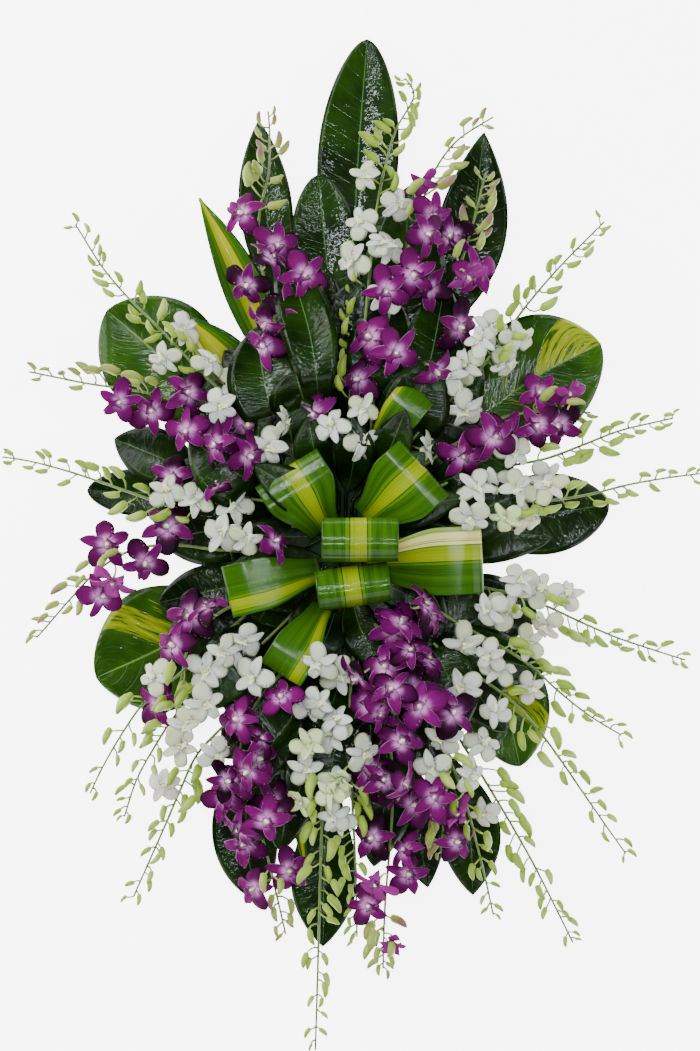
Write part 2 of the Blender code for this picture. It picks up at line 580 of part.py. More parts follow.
class Spray:
    """An orchid spray: a stem from the foam's top, blooms on its lower part and buds to the tip."""

    def __init__(self, name, root, route, colour, blooms, buds, first, last):
        self.name, self.colour = name, colour
        self.root = np.array(root) * 10.0
        self.stations, self.route = smooth_route(np.array([root] + route) * 10.0)
        self.ahead, self.left = sideways(self.route)
        self.total = self.stations[-1]
        self.blooms, self.buds, self.first, self.last = blooms, buds, first, last
        self.chance = random.Random(name)
        self.flowers = []

    def drape_stem(self, heights):
        """The stem lies over the leaves and over the stems that are there already."""
        outside = self.stations > 2 * ROUTE_STEP
        under = np.column_stack([self.route, np.full(len(self.route), -STEM_RADIUS - SAG)])
        needed = heights.needed(under)[outside]
        share = self.stations / self.total
        arch = STEM_ARCH * np.sin(math.pi * np.minimum(1, 1.2 * share))
        base = FOAM_TOP + STEM_START + arch - STEM_DROOP * share ** 2
        height = drape(self.stations, base, self.stations[outside], needed)
        picks = [*range(2, len(self.stations) - 1, STATIONS_A_LENGTH), len(self.stations) - 1]
        self.joints = self.stations[picks]
        self.corners = np.column_stack([self.route[picks], height[picks]])
        dense = np.arange(self.joints[0], self.total, 3.0)
        heights.place(np.array([self.stem_at(s) for s in dense]) + [0, 0, STEM_RADIUS])
        column = np.linspace(FOAM_TOP, height[2], 8)
        heights.place(np.column_stack([np.tile(self.root, (8, 1)), column]))

    def stem_at(self, s):
        return np.array([np.interp(s, self.joints, self.corners[:, k]) for k in range(3)])

    def start_outside(self, loops):
        """Moves the first bloom outward until it is clear of the loops."""
        while self.first < self.last - 0.15 and any(
                loop.covers(self.stem_at(self.first * self.total)[:2], BLOOM_START) for loop in loops):
            self.first += 0.01

    def place_bloom(self, heights, i):
        share = self.first + (self.last - self.first) * (i + 0.5) / self.blooms
        age = i / max(1, self.blooms - 1)
        size = BLOOM_RADIUS[self.colour] * (FIRST_SIZE - SIZE_LOSS * age)
        self.place(heights, "bloom", share, 1 if i % 2 else -1, size * self.chance.uniform(0.93, 1.05))

    def place_bud(self, heights, i):
        share = min(0.995, self.last + (1.0 - self.last) * (i + 0.7) / self.buds)
        self.place(heights, "bud", share, 1 if i % 2 else -1, 1.0 - 0.4 * (i + 1) / self.buds)

    def place(self, heights, kind, share, side, size):
        """Puts the flower where it has to be lifted least, near its place on the stem."""
        lean = np.array([self.chance.uniform(-0.3, 0.3), self.chance.uniform(-0.3, 0.3), 0])
        turn = self.chance.uniform(-0.5, 0.5)
        best = None
        for shift in SHIFTS[kind]:
            for other in (1, -1):
                for swing in SWINGS[kind]:
                    s = min(max(share * self.total + shift, self.joints[0] + 4), self.total - 1.0)
                    flower = self.posed(kind, s, side * other, math.radians(swing), size, lean, turn)
                    cost = self.settle(heights, flower) + SHIFT_COST * abs(shift)
                    cost += SIDE_COST if other < 0 else 0.0
                    if best is None or cost < best[0]:
                        best = (cost, flower)
        if best[0] > BLOCKED:
            return
        flower = best[1]
        points, thick = self.samples_of(flower)
        heights.place(points + [0, 0, thick])
        trail = [flower["root"] + (flower["centre"] - flower["root"]) * t for t in np.linspace(0.1, 1, 12)]
        heights.place(np.array(trail) + [0, 0, PEDICEL_RADIUS])
        self.flowers.append(flower)

    def posed(self, kind, s, side, swing, size, lean, turn):
        ahead = np.array([*[np.interp(s, self.stations, self.ahead[:, k]) for k in (0, 1)], 0.0])
        left = np.array([*[np.interp(s, self.stations, self.left[:, k]) for k in (0, 1)], 0.0])
        root = self.stem_at(s)
        upright = np.array([0, 0, 1.0])
        slant = 0.25 if kind == "bloom" else 0.7
        way = math.cos(swing) * upright + math.sin(swing) * side * left + slant * ahead
        way /= np.linalg.norm(way)
        if kind == "bud":
            return {"kind": kind, "root": root, "centre": root + BUD_PEDICEL * size * way, "way": way,
                    "length": BUD_LENGTH * size, "width": BUD_WIDTH * size}
        frame = bloom_frame(upright + 0.4 * side * left + lean, np.array([turn, 1.0, 0.2]) - 0.3 * ahead)
        return {"kind": kind, "root": root, "centre": root + PEDICEL_LENGTH * way, "radius": size,
                "frame": frame}

    def settle(self, heights, flower):
        """Lifts the flower clear of what is below it and returns the lift, more if it is blocked."""
        points, thick = self.samples_of(flower)
        lift = max(0.0, heights.needed(points - [0, 0, thick]).max())
        flower["centre"] = flower["centre"] + [0, 0, lift]
        step = flower["centre"] - flower["root"]
        trail = np.array([flower["root"] + step * t for t in np.linspace(0.0, 1.0, 10)])
        apart = np.linalg.norm((trail - flower["root"])[:, :2], axis=1)
        crossing = (heights.needed(trail - [0, 0, PEDICEL_RADIUS]) > 0) & (apart > 7.5)
        x, y = heights.cells(flower["root"][None])
        covered = heights.top[x, y][0] > flower["root"][2] + STEM_RADIUS + 1.5
        return lift + (2 * BLOCKED if covered or crossing.any() else 0.0)

    def samples_of(self, flower):
        """Points of the flower's middle surface, and half its thickness."""
        centre = flower["centre"]
        if flower["kind"] == "bud":
            line = np.outer(np.linspace(0, 1, 6), flower["way"] * flower["length"])
            return centre + line, flower["width"] / 2
        found = []
        for share in (0.3, 0.55, 0.8, 1.0):
            rim = bloom_outline(centre, flower["frame"], flower["radius"], share)
            for t in (0.0, 0.25, 0.5, 0.75):
                found.append(rim * (1 - t) + np.roll(rim, -1, axis=0) * t)
        return np.vstack(found), BLOOM_DEPTH

    def build(self):
        line = [(*self.root, FOAM_TOP - STEM_DEPTH),
                (*self.root, max(FOAM_TOP + 4, self.corners[0][2] - STEM_START)), *self.corners]
        radii = [STEM_RADIUS, STEM_RADIUS] + [
            STEM_RADIUS + (TIP_RADIUS - STEM_RADIUS) * s / self.total for s in self.joints]
        stem = solid(self.name, *tube(line, radii, STEM_SIDES), self.colour)
        pieces = []
        for flower in self.flowers:
            root, centre = flower["root"], flower["centre"]
            if flower["kind"] == "bud":
                shell = bud_shell(root, centre, flower["way"], flower["length"], flower["width"])
            else:
                shell = bloom_shell(root, centre, flower["frame"], flower["radius"])
            pieces.append(solid("flower", *shell, self.colour))
        return modified(stem, self.name, "UNION", pieces)


class Loop:
    """A leaf folded back on itself, on a stalk that stands in the foam's top."""

    def __init__(self, name, foot, fold, width, height, tilt, shape):
        self.name = name
        foot, fold = np.array(foot) * 10.0, np.array(fold) * 10.0
        self.way = (fold - foot) / np.linalg.norm(fold - foot)
        self.side = np.array([-self.way[1], self.way[0]])
        self.rolled = shape == "rolled"
        overhang = 0.0 if self.rolled else LOOP_OVERHANG
        self.length = np.linalg.norm(fold - foot) + overhang
        self.middle = (fold + foot) / 2 - self.way * overhang / 2
        self.foot = (fold + foot) / 2 if self.rolled else foot
        self.width, self.tall, self.tilt = width * 10.0, height * 10.0, math.radians(tilt)

    def narrowing(self, along):
        """Share of the full width, along from -1 at the foot to 1 at the fold."""
        if self.rolled:
            return 1.0
        rise = min(1.0, (along + 1) / 1.3)
        return LOOP_WAIST + (1 - LOOP_WAIST) * rise * rise * (3 - 2 * rise)

    def strip(self, angle, across, inset=0.0):
        """A point of the strip; the loop is pinched towards its stalk."""
        along = math.cos(angle)
        pinch = 1.0 if self.rolled else LOOP_PINCH + (1 - LOOP_PINCH) * (along + 1) / 2
        u = (self.length / 2 - inset) * along
        w = (self.tall / 2 * pinch - inset) * math.sin(angle) + self.tall / 2 * pinch
        u, w = u * math.cos(self.tilt) - w * math.sin(self.tilt), (
            w * math.cos(self.tilt) + (u + self.length / 2) * math.sin(self.tilt))
        xy = self.middle + self.way * u + self.side * across * self.narrowing(along)
        return np.array([xy[0], xy[1], w])

    def covers(self, point, margin):
        """Whether a point of the plan lies within the margin of the loop's outline."""
        from_middle = point - self.middle
        u, v = from_middle.dot(self.way), from_middle.dot(self.side)
        half = self.width / 2 * self.narrowing(np.clip(2 * u / self.length, -1, 1))
        return abs(u) < self.length / 2 + margin and abs(v) < half + margin

    def drape_on(self, heights):
        points = []
        for angle in np.linspace(0, 2 * math.pi, 48, endpoint=False):
            for across in np.linspace(-self.width / 2, self.width / 2, 25):
                points.append(self.strip(angle, across))
        points = np.array(points)
        low = points.copy()
        low[:, 2] -= 1.5
        self.lift = heights.needed(low).max()
        points[:, 2] += self.lift + 1.5
        heights.place(points)

    def build(self):
        vertices = []
        for i in range(LOOP_SEGMENTS):
            angle = 2 * math.pi * (i + 0.5) / LOOP_SEGMENTS
            for across, inset in ((-0.5, 0), (0.5, 0), (0.5, LOOP_THICKNESS), (-0.5, LOOP_THICKNESS)):
                point = self.strip(angle, across * self.width, inset)
                vertices.append(point + [0, 0, self.lift])
        faces = []
        for i in range(LOOP_SEGMENTS):
            k = (i + 1) % LOOP_SEGMENTS
            for j in range(4):
                a, b = 4 * i + j, 4 * i + (j + 1) % 4
                c, d = 4 * k + (j + 1) % 4, 4 * k + j
                faces += [(a, d, b), (b, d, c)]
        loop = solid(self.name, vertices, faces, "loop")
        line = [(*self.foot, FOAM_TOP - STEM_DEPTH), (*self.foot, self.foot_height())]
        stalk = solid("stalk", *tube(line, [STEM_RADIUS] * 2, STEM_SIDES), "loop")
        return modified(loop, self.name, "UNION", [stalk])

    def foot_height(self):
        """Where the stalk ends, just inside the loop."""
        lower = [self.strip(angle, 0.0) for angle in np.linspace(math.pi, 2 * math.pi, 200)]
        nearest = min(lower, key=lambda p: abs((p[:2] - self.foot).dot(self.way)))
        return nearest[2] + self.lift + 3.0


def holder(leaves, sprays, loops):
    """Foam block with a plain hole for each stalk and stem, and the tray it stands in."""
    half_x, half_y = FOAM_WIDTH / 2, FOAM_LENGTH / 2
    block = box_points((-half_x, -half_y, FOAM_BOTTOM), (half_x, half_y, FOAM_TOP))
    foam = solid("floral_foam", *block, "foam")
    cutters = []
    around = 1.0 / math.cos(math.pi / HOLE_SIDES)
    for leaf in leaves:
        inner = leaf.root - (STALK_DEPTH + HOLE_RELIEF) * leaf.out
        outer = leaf.root + 6.0 * leaf.out
        radius = (STALK_RADIUS + HOLE_PLAY) * around
        line = [(*inner, leaf.hole), (*outer, leaf.hole)]
        cutters.append(solid("hole", *tube(line, [radius] * 2, HOLE_SIDES), "foam"))
    feet = [spray.root for spray in sprays] + [loop.foot for loop in loops]
    for foot in feet:
        radius = (STEM_RADIUS + HOLE_PLAY) * around
        line = [(*foot, FOAM_TOP - STEM_DEPTH - HOLE_RELIEF), (*foot, FOAM_TOP + 6.0)]
        cutters.append(solid("hole", *tube(line, [radius] * 2, HOLE_SIDES), "foam"))
    modified(foam, "floral_foam", "DIFFERENCE", cutters)
    inside_x, inside_y = half_x + SEAT_GAP, half_y + SEAT_GAP
    wall_x, wall_y = inside_x + TRAY_WALL, inside_y + TRAY_WALL
    tray = solid("holder_tray", *box_points((-wall_x, -wall_y, 0), (wall_x, wall_y, TRAY_RIM)), "tray")
    well = solid("well", *box_points((-inside_x, -inside_y, TRAY_FLOOR), (inside_x, inside_y, 40.0)), "tray")
    modified(tray, "holder_tray", "DIFFERENCE", [well])


def main():
    clear_scene()
    heights = Heights()
    around_tray = [(x, y, TRAY_RIM) for x in np.arange(-58, 59, 3.0) for y in np.arange(-118, 119, 3.0)]
    heights.place(np.array(around_tray))
    leaves = [Leaf(*row) for row in LEAVES]
    for leaf in leaves:
        leaf.drape_on(heights)
    foam_cells = [(x, y, FOAM_TOP) for x in np.arange(-55, 56, 3.0) for y in np.arange(-115, 116, 3.0)]
    heights.place(np.array(foam_cells))
    sprays = [Spray(*row) for row in SPRAYS]
    for spray in sprays:
        spray.drape_stem(heights)
    loops = [Loop(*row) for row in LOOPS]
    for loop in loops:
        loop.drape_on(heights)
    for spray in sprays:
        spray.start_outside(loops)
    for i in range(max(spray.blooms for spray in sprays)):
        for spray in (spray for spray in sprays if i < spray.blooms):
            spray.place_bloom(heights, i)
    for spray in sprays:
        for i in range(spray.buds):
            spray.place_bud(heights, i)
    holder(leaves, sprays, loops)
    for piece in leaves + sprays + loops:
        piece.build()


main()
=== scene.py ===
"""Orchid wreath, finished: every leaf, spray and rolled leaf as a fine surface in place of its solid.
The layout is worked out in millimetres, in the solids' own frame, and meshes are in metres.
+Z points at the viewer and +Y is the top of the spray."""
import json
import math
import random

import bpy
import numpy as np
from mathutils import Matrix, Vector

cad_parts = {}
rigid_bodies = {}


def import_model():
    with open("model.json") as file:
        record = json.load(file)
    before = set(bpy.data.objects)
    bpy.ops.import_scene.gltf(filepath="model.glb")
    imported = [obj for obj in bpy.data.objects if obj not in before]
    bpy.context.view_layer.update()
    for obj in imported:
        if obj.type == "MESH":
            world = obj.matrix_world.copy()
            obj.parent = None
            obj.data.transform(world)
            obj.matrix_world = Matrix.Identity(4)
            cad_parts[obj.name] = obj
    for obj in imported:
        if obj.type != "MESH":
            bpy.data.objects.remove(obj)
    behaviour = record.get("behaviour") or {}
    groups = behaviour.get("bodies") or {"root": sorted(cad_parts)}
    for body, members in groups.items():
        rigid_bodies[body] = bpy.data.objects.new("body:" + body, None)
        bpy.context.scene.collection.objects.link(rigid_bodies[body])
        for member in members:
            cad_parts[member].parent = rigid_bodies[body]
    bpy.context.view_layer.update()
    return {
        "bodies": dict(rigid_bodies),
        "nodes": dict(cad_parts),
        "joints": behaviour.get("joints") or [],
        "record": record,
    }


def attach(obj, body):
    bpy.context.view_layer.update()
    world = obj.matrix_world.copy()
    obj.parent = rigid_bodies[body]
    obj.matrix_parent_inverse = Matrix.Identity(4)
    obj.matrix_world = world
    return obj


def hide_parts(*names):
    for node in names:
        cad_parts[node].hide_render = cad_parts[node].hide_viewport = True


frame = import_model()

MM = 0.001
PIXEL = 1.08
PHOTO_WIDTH, PHOTO_HEIGHT = 700, 1051
TRAY_CENTRE_PIXEL = (345, 545)

# Holder
FOAM_WIDTH = 110.0
FOAM_LENGTH = 230.0
FOAM_HEIGHT = 76.0
TRAY_FLOOR = 3.0
TRAY_RIM = 14.0
TRAY_HALF_WIDTH = 58.0
TRAY_HALF_LENGTH = 118.0
SEAT_GAP = 0.3
FOAM_BOTTOM = TRAY_FLOOR + SEAT_GAP
FOAM_TOP = FOAM_BOTTOM + FOAM_HEIGHT

# Stems and stalks
STEM_RADIUS = 2.0
STEM_DEPTH = 26.0
STALK_RADIUS = 2.4
STALK_DEPTH = 24.0
# Height of a stem over the foam where it leaves it, how far it arches up and how far its tip droops
STEM_START = 14.0
STEM_ARCH = 12.0
STEM_DROOP = 46.0

# Leaves
LEAF_CLEARANCE = 3.5
# For each kind of leaf: share of the route that is bare stalk, fullness of the outline, fold along
# the midrib, wave of the edge (mm), columns and rows of its skin
LEAF_KINDS = {
    "dark": (0.3, 0.85, 0.16, 2.0, 3, 6),
    "broad": (0.3, 0.58, 0.16, 2.0, 3, 6),
    "striped": (0.14, 0.95, 0.3, 1.0, 3, 6),
    "pothos": (0.26, 0.62, 0.1, 5.0, 5, 7),
    "filler": (0.06, 0.75, 0.14, 2.0, 3, 6),
}

# Rolled leaf loops
LOOP_THICKNESS = 1.4
LOOP_OVERHANG = 8.0
LOOP_WAIST = 0.48
LOOP_SHOULDER = 1.3
LOOP_PINCH = 0.5
LOOP_CLEARANCE = 1.5

# Blooms and buds: each bloom is somewhat smaller than the one before it on its stem
BLOOM_RADIUS = {"purple": 30.0, "white": 22.5}
FIRST_SIZE = 1.06
SIZE_LOSS = 0.16
# Share of a flower's points, from its middle outward, that count as its heart
HEART = 0.625
PEDICEL_LENGTH = 24.0
PEDICEL_RADIUS = 1.3
BUD_LENGTH = 20.0
BUD_WIDTH = 9.0
BUD_PEDICEL = 11.0
BLOOM_DEPTH = 2.2
BLOOM_START = 10.0
# Where a flower may move along its stem (mm) and how far it may swing out (degrees)
SHIFTS = {"bloom": (0, 8, -8, 16, -16, 24, -24, 34, -34, 44), "bud": (0, 6, -6, 12, -12)}
SWINGS = {"bloom": (52, 66, 36), "bud": (62, 40, 80)}
SHIFT_COST = 0.12
SIDE_COST = 4.0
BLOCKED = 500.0
STATIONS_A_LENGTH = 7
# How far a straight length of stem may fall below its smooth line (mm)
SAG = 1.2

# Draping: a height field of what is already placed, in millimetres
CELL = 3.0
HALF_X = 440.0
HALF_Y = 640.0
SURFACE_CLEARANCE = 8.0
DRAPE_CLEARANCE = 2.0
DRAPE_BEND = 0.0045
ROUTE_STEP = 6.0
CURVE_DETAIL = 24

# Leaves: name, height of the stalk's hole over the tray's back (mm), route from the foam's side to
# the tip (cm), greatest half width (cm), share of the blade where it is widest, kind
LEAVES = [
    ("top_leaf", 24, [(0.5, 11.5), (0.8, 26), (1.3, 40), (2.4, 54.9)], 4.4, 0.56, "broad"),
    ("right_dark_leaf", 24, [(5.5, 1.6), (14, 2.6), (22, 3.4), (28.7, 4.4)], 4.4, 0.55, "broad"),
    ("left_dark_leaf", 24, [(-5.5, 3.0), (-14, 5.0), (-21, 5.6), (-28.0, 5.9)], 2.6, 0.62, "broad"),
    ("upper_right_leaf", 24, [(3.6, 11.5), (9, 22), (13.4, 33), (15.1, 44.8)], 3.9, 0.52, "dark"),
    ("upper_left_leaf", 24, [(-2.6, 11.5), (-6.6, 24), (-8.4, 35), (-9.4, 46.1)], 2.9, 0.6, "dark"),
    ("right_marbled_leaf", 36, [(5.5, 8.2), (14, 13.5), (21, 18.4), (27.7, 21.8)], 6.6, 0.58, "pothos"),
    ("left_marbled_leaf", 36, [(-5.5, 8.6), (-13, 14.5), (-19.5, 20.0), (-25.8, 25.4)], 6.4, 0.6, "pothos"),
    ("lower_left_marbled_leaf", 30, [(-5.5, -3.2), (-13, -7.2), (-20, -11.2), (-27.0, -14.4)], 6.8, 0.56,
     "pothos"),
    ("lower_right_leaf", 30, [(5.5, -5.4), (12, -10.6), (17.0, -17.0), (19.0, -24.0)], 5.2, 0.5, "pothos"),
    ("bottom_left_leaf", 24, [(-3.8, -11.5), (-8.4, -21), (-10.8, -30), (-9.6, -38.4)], 3.6, 0.6, "broad"),
    ("bottom_centre_leaf", 24, [(-0.8, -11.5), (-1.6, -24), (-2.2, -34), (-2.4, -43.6)], 3.6, 0.66, "dark"),
    ("bottom_right_leaf", 24, [(1.8, -11.5), (5.0, -22), (7.6, -30), (9.0, -37.2)], 3.0, 0.6, "dark"),
    ("lower_right_dark_leaf", 24, [(4.6, -11.5), (9.6, -22), (13.2, -30), (13.9, -38.0)], 3.4, 0.62,
     "dark"),
    ("oval_leaf", 40, [(0.2, 11.5), (-0.8, 22), (-2.0, 31), (-2.9, 40.0)], 3.6, 0.6, "broad"),
    ("upper_left_striped_leaf", 40, [(-3.8, 11.5), (-8.4, 22), (-12.4, 31), (-15.8, 37.6)], 2.3, 0.5,
     "striped"),
    ("left_striped_leaf", 47, [(-5.5, 9.8), (-9.6, 15.5), (-13.5, 20.6), (-17.4, 24.8)], 2.8, 0.5,
     "striped"),
    ("bottom_strap_leaf", 44, [(-2.4, -11.5), (-5.0, -18), (-5.2, -27), (-4.2, -35.4)], 1.1, 0.5,
     "striped"),
    ("upright_striped_leaf", 46, [(2.6, 11.5), (5.2, 17), (7.0, 23.5), (8.2, 30.6)], 2.6, 0.5, "striped"),
    ("right_inner_leaf", 46, [(5.5, 6.4), (9.6, 9.0), (13.4, 11.4), (17.0, 13.8)], 2.5, 0.5, "dark"),
    ("left_inner_leaf", 47, [(-5.5, 7.2), (-8.2, 8.6), (-10.6, 11.2), (-12.4, 14.6)], 3.4, 0.5, "dark"),
]

# Sprays: name, root on the foam's top (cm), route to the tip (cm), colour, how many blooms and buds,
# share of the route where the blooms start and where they end
SPRAYS = [
    ("purple_spray_left_upper", (-4.4, 6.0),
     [(-6.6, 8.2), (-11.3, 11.3), (-18.9, 15.7), (-27.3, 17.3), (-34.1, 18.7)], "purple", 6, 3, 0.22, 0.56),
    ("purple_spray_left_short", (-4.4, 4.2),
     [(-6.6, 4.4), (-11.3, 5.1), (-19.4, 5.9)], "purple", 3, 0, 0.6, 1.0),
    ("purple_spray_left", (-4.4, -0.4),
     [(-6.8, -0.6), (-12.4, -0.6), (-20.0, 0.0), (-25.9, -2.2), (-33.3, -10.0)], "purple", 4, 3, 0.4, 0.62),
    ("purple_spray_lower_left", (-4.4, -4.4),
     [(-6.8, -5.0), (-10.3, -5.9), (-16.2, -9.7), (-18.6, -20.2)], "purple", 5, 0, 0.42, 1.0),
    ("purple_spray_bottom_left", (-2.7, -10.2),
     [(-4.0, -11.8), (-6.5, -13.5), (-10.0, -17.8), (-11.3, -24.3), (-9.0, -30.8), (-6.4, -42.0)],
     "purple", 7, 2, 0.12, 0.8),
    ("purple_spray_upper_left", (-3.4, 10.2),
     [(-4.2, 13.0), (-5.9, 18.4), (-8.1, 26.5), (-9.4, 33.5), (-8.1, 41.0), (-8.3, 46.8)],
     "purple", 6, 3, 0.16, 0.72),
    ("purple_spray_upper_right", (4.4, 9.8),
     [(4.9, 12.0), (8.6, 18.9), (11.1, 26.5), (13.3, 32.9), (15.2, 40.2)], "purple", 4, 3, 0.42, 0.7),
    ("purple_spray_right", (4.4, 6.0),
     [(6.6, 7.2), (11.3, 10.5), (17.8, 14.0), (26.5, 14.3)], "purple", 6, 1, 0.3, 0.76),
    ("purple_spray_bottom_right", (2.7, -10.2),
     [(3.2, -12.4), (4.3, -16.7), (5.1, -26.5), (4.3, -38.9), (4.1, -45.7)], "purple", 7, 3, 0.12, 0.84),
    ("purple_spray_top_right", (2.8, 10.2),
     [(2.8, 13.0), (3.6, 18.9), (5.4, 27.5), (7.5, 34.0), (9.2, 39.4), (12.2, 43.7), (16.0, 46.2)],
     "purple", 7, 3, 0.06, 0.64),
    ("purple_spray_top_centre", (-1.3, 10.2),
     [(-1.6, 13.0), (-2.9, 18.9), (-4.3, 24.3), (-6.2, 29.9)], "purple", 6, 0, 0.1, 1.0),
    ("white_spray_upper_left", (-4.4, 8.0),
     [(-5.6, 9.6), (-7.8, 12.2), (-13.5, 16.7), (-19.4, 22.7), (-25.2, 28.7), (-29.1, 34.6)],
     "white", 7, 5, 0.1, 0.46),
    ("white_spray_left", (-4.4, 2.0),
     [(-6.6, 2.0), (-10.8, 2.2), (-17.3, 3.7), (-25.7, 6.6), (-32.4, 8.7), (-37.0, 9.5)],
     "white", 6, 5, 0.08, 0.38),
    ("white_spray_lower_left_outer", (-4.4, -2.4),
     [(-6.6, -4.2), (-10.3, -7.2), (-16.7, -13.0), (-21.8, -17.2), (-25.7, -23.2), (-27.5, -26.8)],
     "white", 4, 3, 0.14, 0.48),
    ("white_spray_lower_left", (-4.4, -6.4),
     [(-6.2, -7.8), (-9.7, -11.3), (-17.3, -17.2), (-22.4, -25.2), (-23.8, -29.3)],
     "white", 4, 4, 0.12, 0.5),
    ("white_spray_lower_left_inner", (-4.4, -8.4),
     [(-5.6, -10.4), (-9.2, -15.7), (-15.6, -22.1), (-18.5, -28.3), (-22.8, -37.9)],
     "white", 4, 4, 0.2, 0.54),
    ("white_spray_right_upper", (4.4, 4.2),
     [(6.6, 4.8), (13.5, 7.6), (22.0, 9.4), (28.9, 12.1), (35.4, 13.7)], "white", 3, 4, 0.3, 0.56),
    ("white_spray_right", (4.4, 2.2),
     [(6.6, 2.6), (13.5, 4.6), (23.2, 4.9), (31.9, 6.8), (38.3, 7.7)], "white", 6, 4, 0.16, 0.42),
    ("white_spray_right_lower", (4.4, 0.2),
     [(6.6, -0.8), (12.4, -3.8), (20.0, -5.9), (28.6, -9.7), (36.7, -12.4)], "white", 7, 5, 0.16, 0.46),
    ("white_spray_right_low", (4.4, -3.6),
     [(6.4, -4.6), (11.3, -7.9), (18.9, -12.2), (24.8, -17.3), (29.8, -20.5)], "white", 4, 4, 0.3, 0.5),
    ("white_spray_lower_right_outer", (4.4, -5.4),
     [(6.0, -6.8), (10.3, -11.3), (17.3, -16.2), (21.5, -20.8), (27.1, -28.8), (30.3, -33.3)],
     "white", 3, 4, 0.28, 0.45),
    ("white_spray_lower_right", (4.4, -7.2),
     [(5.8, -9.4), (9.2, -15.7), (15.0, -25.2), (19.9, -33.6), (24.6, -42.9)], "white", 3, 5, 0.3, 0.52),
    ("purple_spray_lower_right", (4.4, -9.4),
     [(5.8, -11.4), (8.8, -15.2), (10.6, -20.0), (10.9, -26.0), (10.3, -33.2)], "purple", 6, 2, 0.16, 0.84),
    ("white_spray_lower_right_inner", (3.2, -8.4),
     [(4.8, -10.6), (8.1, -16.7), (12.3, -25.7), (15.0, -35.5), (16.0, -39.9)], "white", 2, 4, 0.36, 0.5),
    ("white_spray_upper_right", (4.4, 7.8),
     [(5.6, 9.4), (9.2, 13.5), (14.6, 18.9), (18.4, 24.3), (22.7, 29.5), (28.0, 34.9)],
     "white", 8, 5, 0.1, 0.48),
    ("purple_spray_centre_low", (4.4, -1.8),
     [(6.0, -2.4), (7.4, -5.0), (6.4, -9.6), (5.2, -15.2)], "purple", 4, 0, 0.06, 1.0),
    ("white_spray_top", (0.8, 10.2),
     [(0.9, 13.0), (1.6, 18.9), (2.5, 27.5), (3.6, 37.3), (5.5, 44.8), (7.5, 48.6), (6.5, 50.4)],
     "white", 6, 4, 0.36, 0.72),
    ("white_spray_bottom_short", (1.0, -10.2),
     [(0.9, -12.4), (0.5, -16.7), (0.6, -23.2), (1.1, -34.0), (1.3, -42.3)], "white", 5, 4, 0.06, 0.48),
    ("white_spray_bottom", (-0.9, -10.2),
     [(-1.2, -12.4), (-1.9, -16.7), (-2.3, -23.2), (-2.6, -34.0), (-2.9, -44.8), (-3.2, -54.5)],
     "white", 6, 6, 0.04, 0.36),
    ("white_spray_centre", (0.4, 7.8),
     [(0.5, 9.6), (0.5, 13.5), (0.9, 22.1), (1.6, 30.6)], "white", 3, 3, 0.02, 0.36),
]

# Loops of the bow: name, foot of the stalk and outer fold (cm), width and height (cm), tilt
# (degrees) and shape: a strip folded back on itself, or a short roll that lies across the stalks
LOOPS = [
    ("lower_left_loop", (-3.4, -2.8), (-12.6, -5.0), 5.6, 3.6, 3, "folded"),
    ("bottom_left_loop", (-2.8, -7.2), (-6.9, -13.8), 5.0, 3.6, 3, "folded"),
    ("upper_folded_loop", (3.4, 10.9), (8.0, 16.6), 4.2, 2.6, 0, "folded"),
    ("right_loop", (3.3, -2.0), (14.7, -1.5), 7.2, 4.2, 3, "folded"),
    ("upper_right_loop", (2.9, 3.3), (8.6, 8.4), 7.9, 4.2, 5, "folded"),
    ("upper_left_loop", (-2.6, 2.4), (-6.4, 8.4), 7.8, 4.2, 5, "folded"),
    ("bottom_loop", (1.2, -6.4), (0.6, -2.2), 7.8, 3.8, 0, "rolled"),
    ("centre_loop", (1.6, -1.7), (1.6, 2.9), 8.1, 4.0, 0, "rolled"),
]


def curve_between(near, t):
    """The smooth curve between the two middle ones of four points, t from 0 to 1: a cubic that runs
    through both and, at each, in the direction from the point before it to the one after it."""
    a, b, c, d = near
    return 0.5 * (2 * b + (c - a) * t + (2 * a - 5 * b + 4 * c - d) * t * t
                  + (3 * b - a - 3 * c + d) * t ** 3)


def arc(start, knee, end, t):
    """A simple arc: it leaves the start towards the knee and reaches the end from the knee."""
    return start * (1 - t) ** 2 + 2 * knee * t * (1 - t) + end * t ** 2


def values_at(where, stations, values):
    """Values between the stations, in a straight line from each row of the table to the next."""
    return np.stack([np.interp(where, stations, column) for column in values.T], -1)


def smooth_route(points, step=ROUTE_STEP):
    """The smooth curve through the points, at even steps of its length."""
    route = np.asarray(points, float)
    ends = np.vstack([2 * route[0] - route[1], route, 2 * route[-1] - route[-2]])
    dense = []
    for i in range(len(route) - 1):
        for t in np.linspace(0, 1, CURVE_DETAIL, endpoint=False):
            dense.append(curve_between(ends[i:i + 4], t))
    dense = np.array(dense + [route[-1]])
    along = np.concatenate([[0], np.cumsum(np.linalg.norm(np.diff(dense, axis=0), axis=1))])
    stations = np.linspace(0, along[-1], max(4, int(along[-1] / step) + 1))
    return stations, values_at(stations, along, dense)


def sideways(route):
    """Unit vectors along the route and to its left, in the plane."""
    ahead = np.gradient(route, axis=0)
    ahead /= np.linalg.norm(ahead, axis=1)[:, None]
    return ahead, np.stack([-ahead[:, 1], ahead[:, 0]], 1)


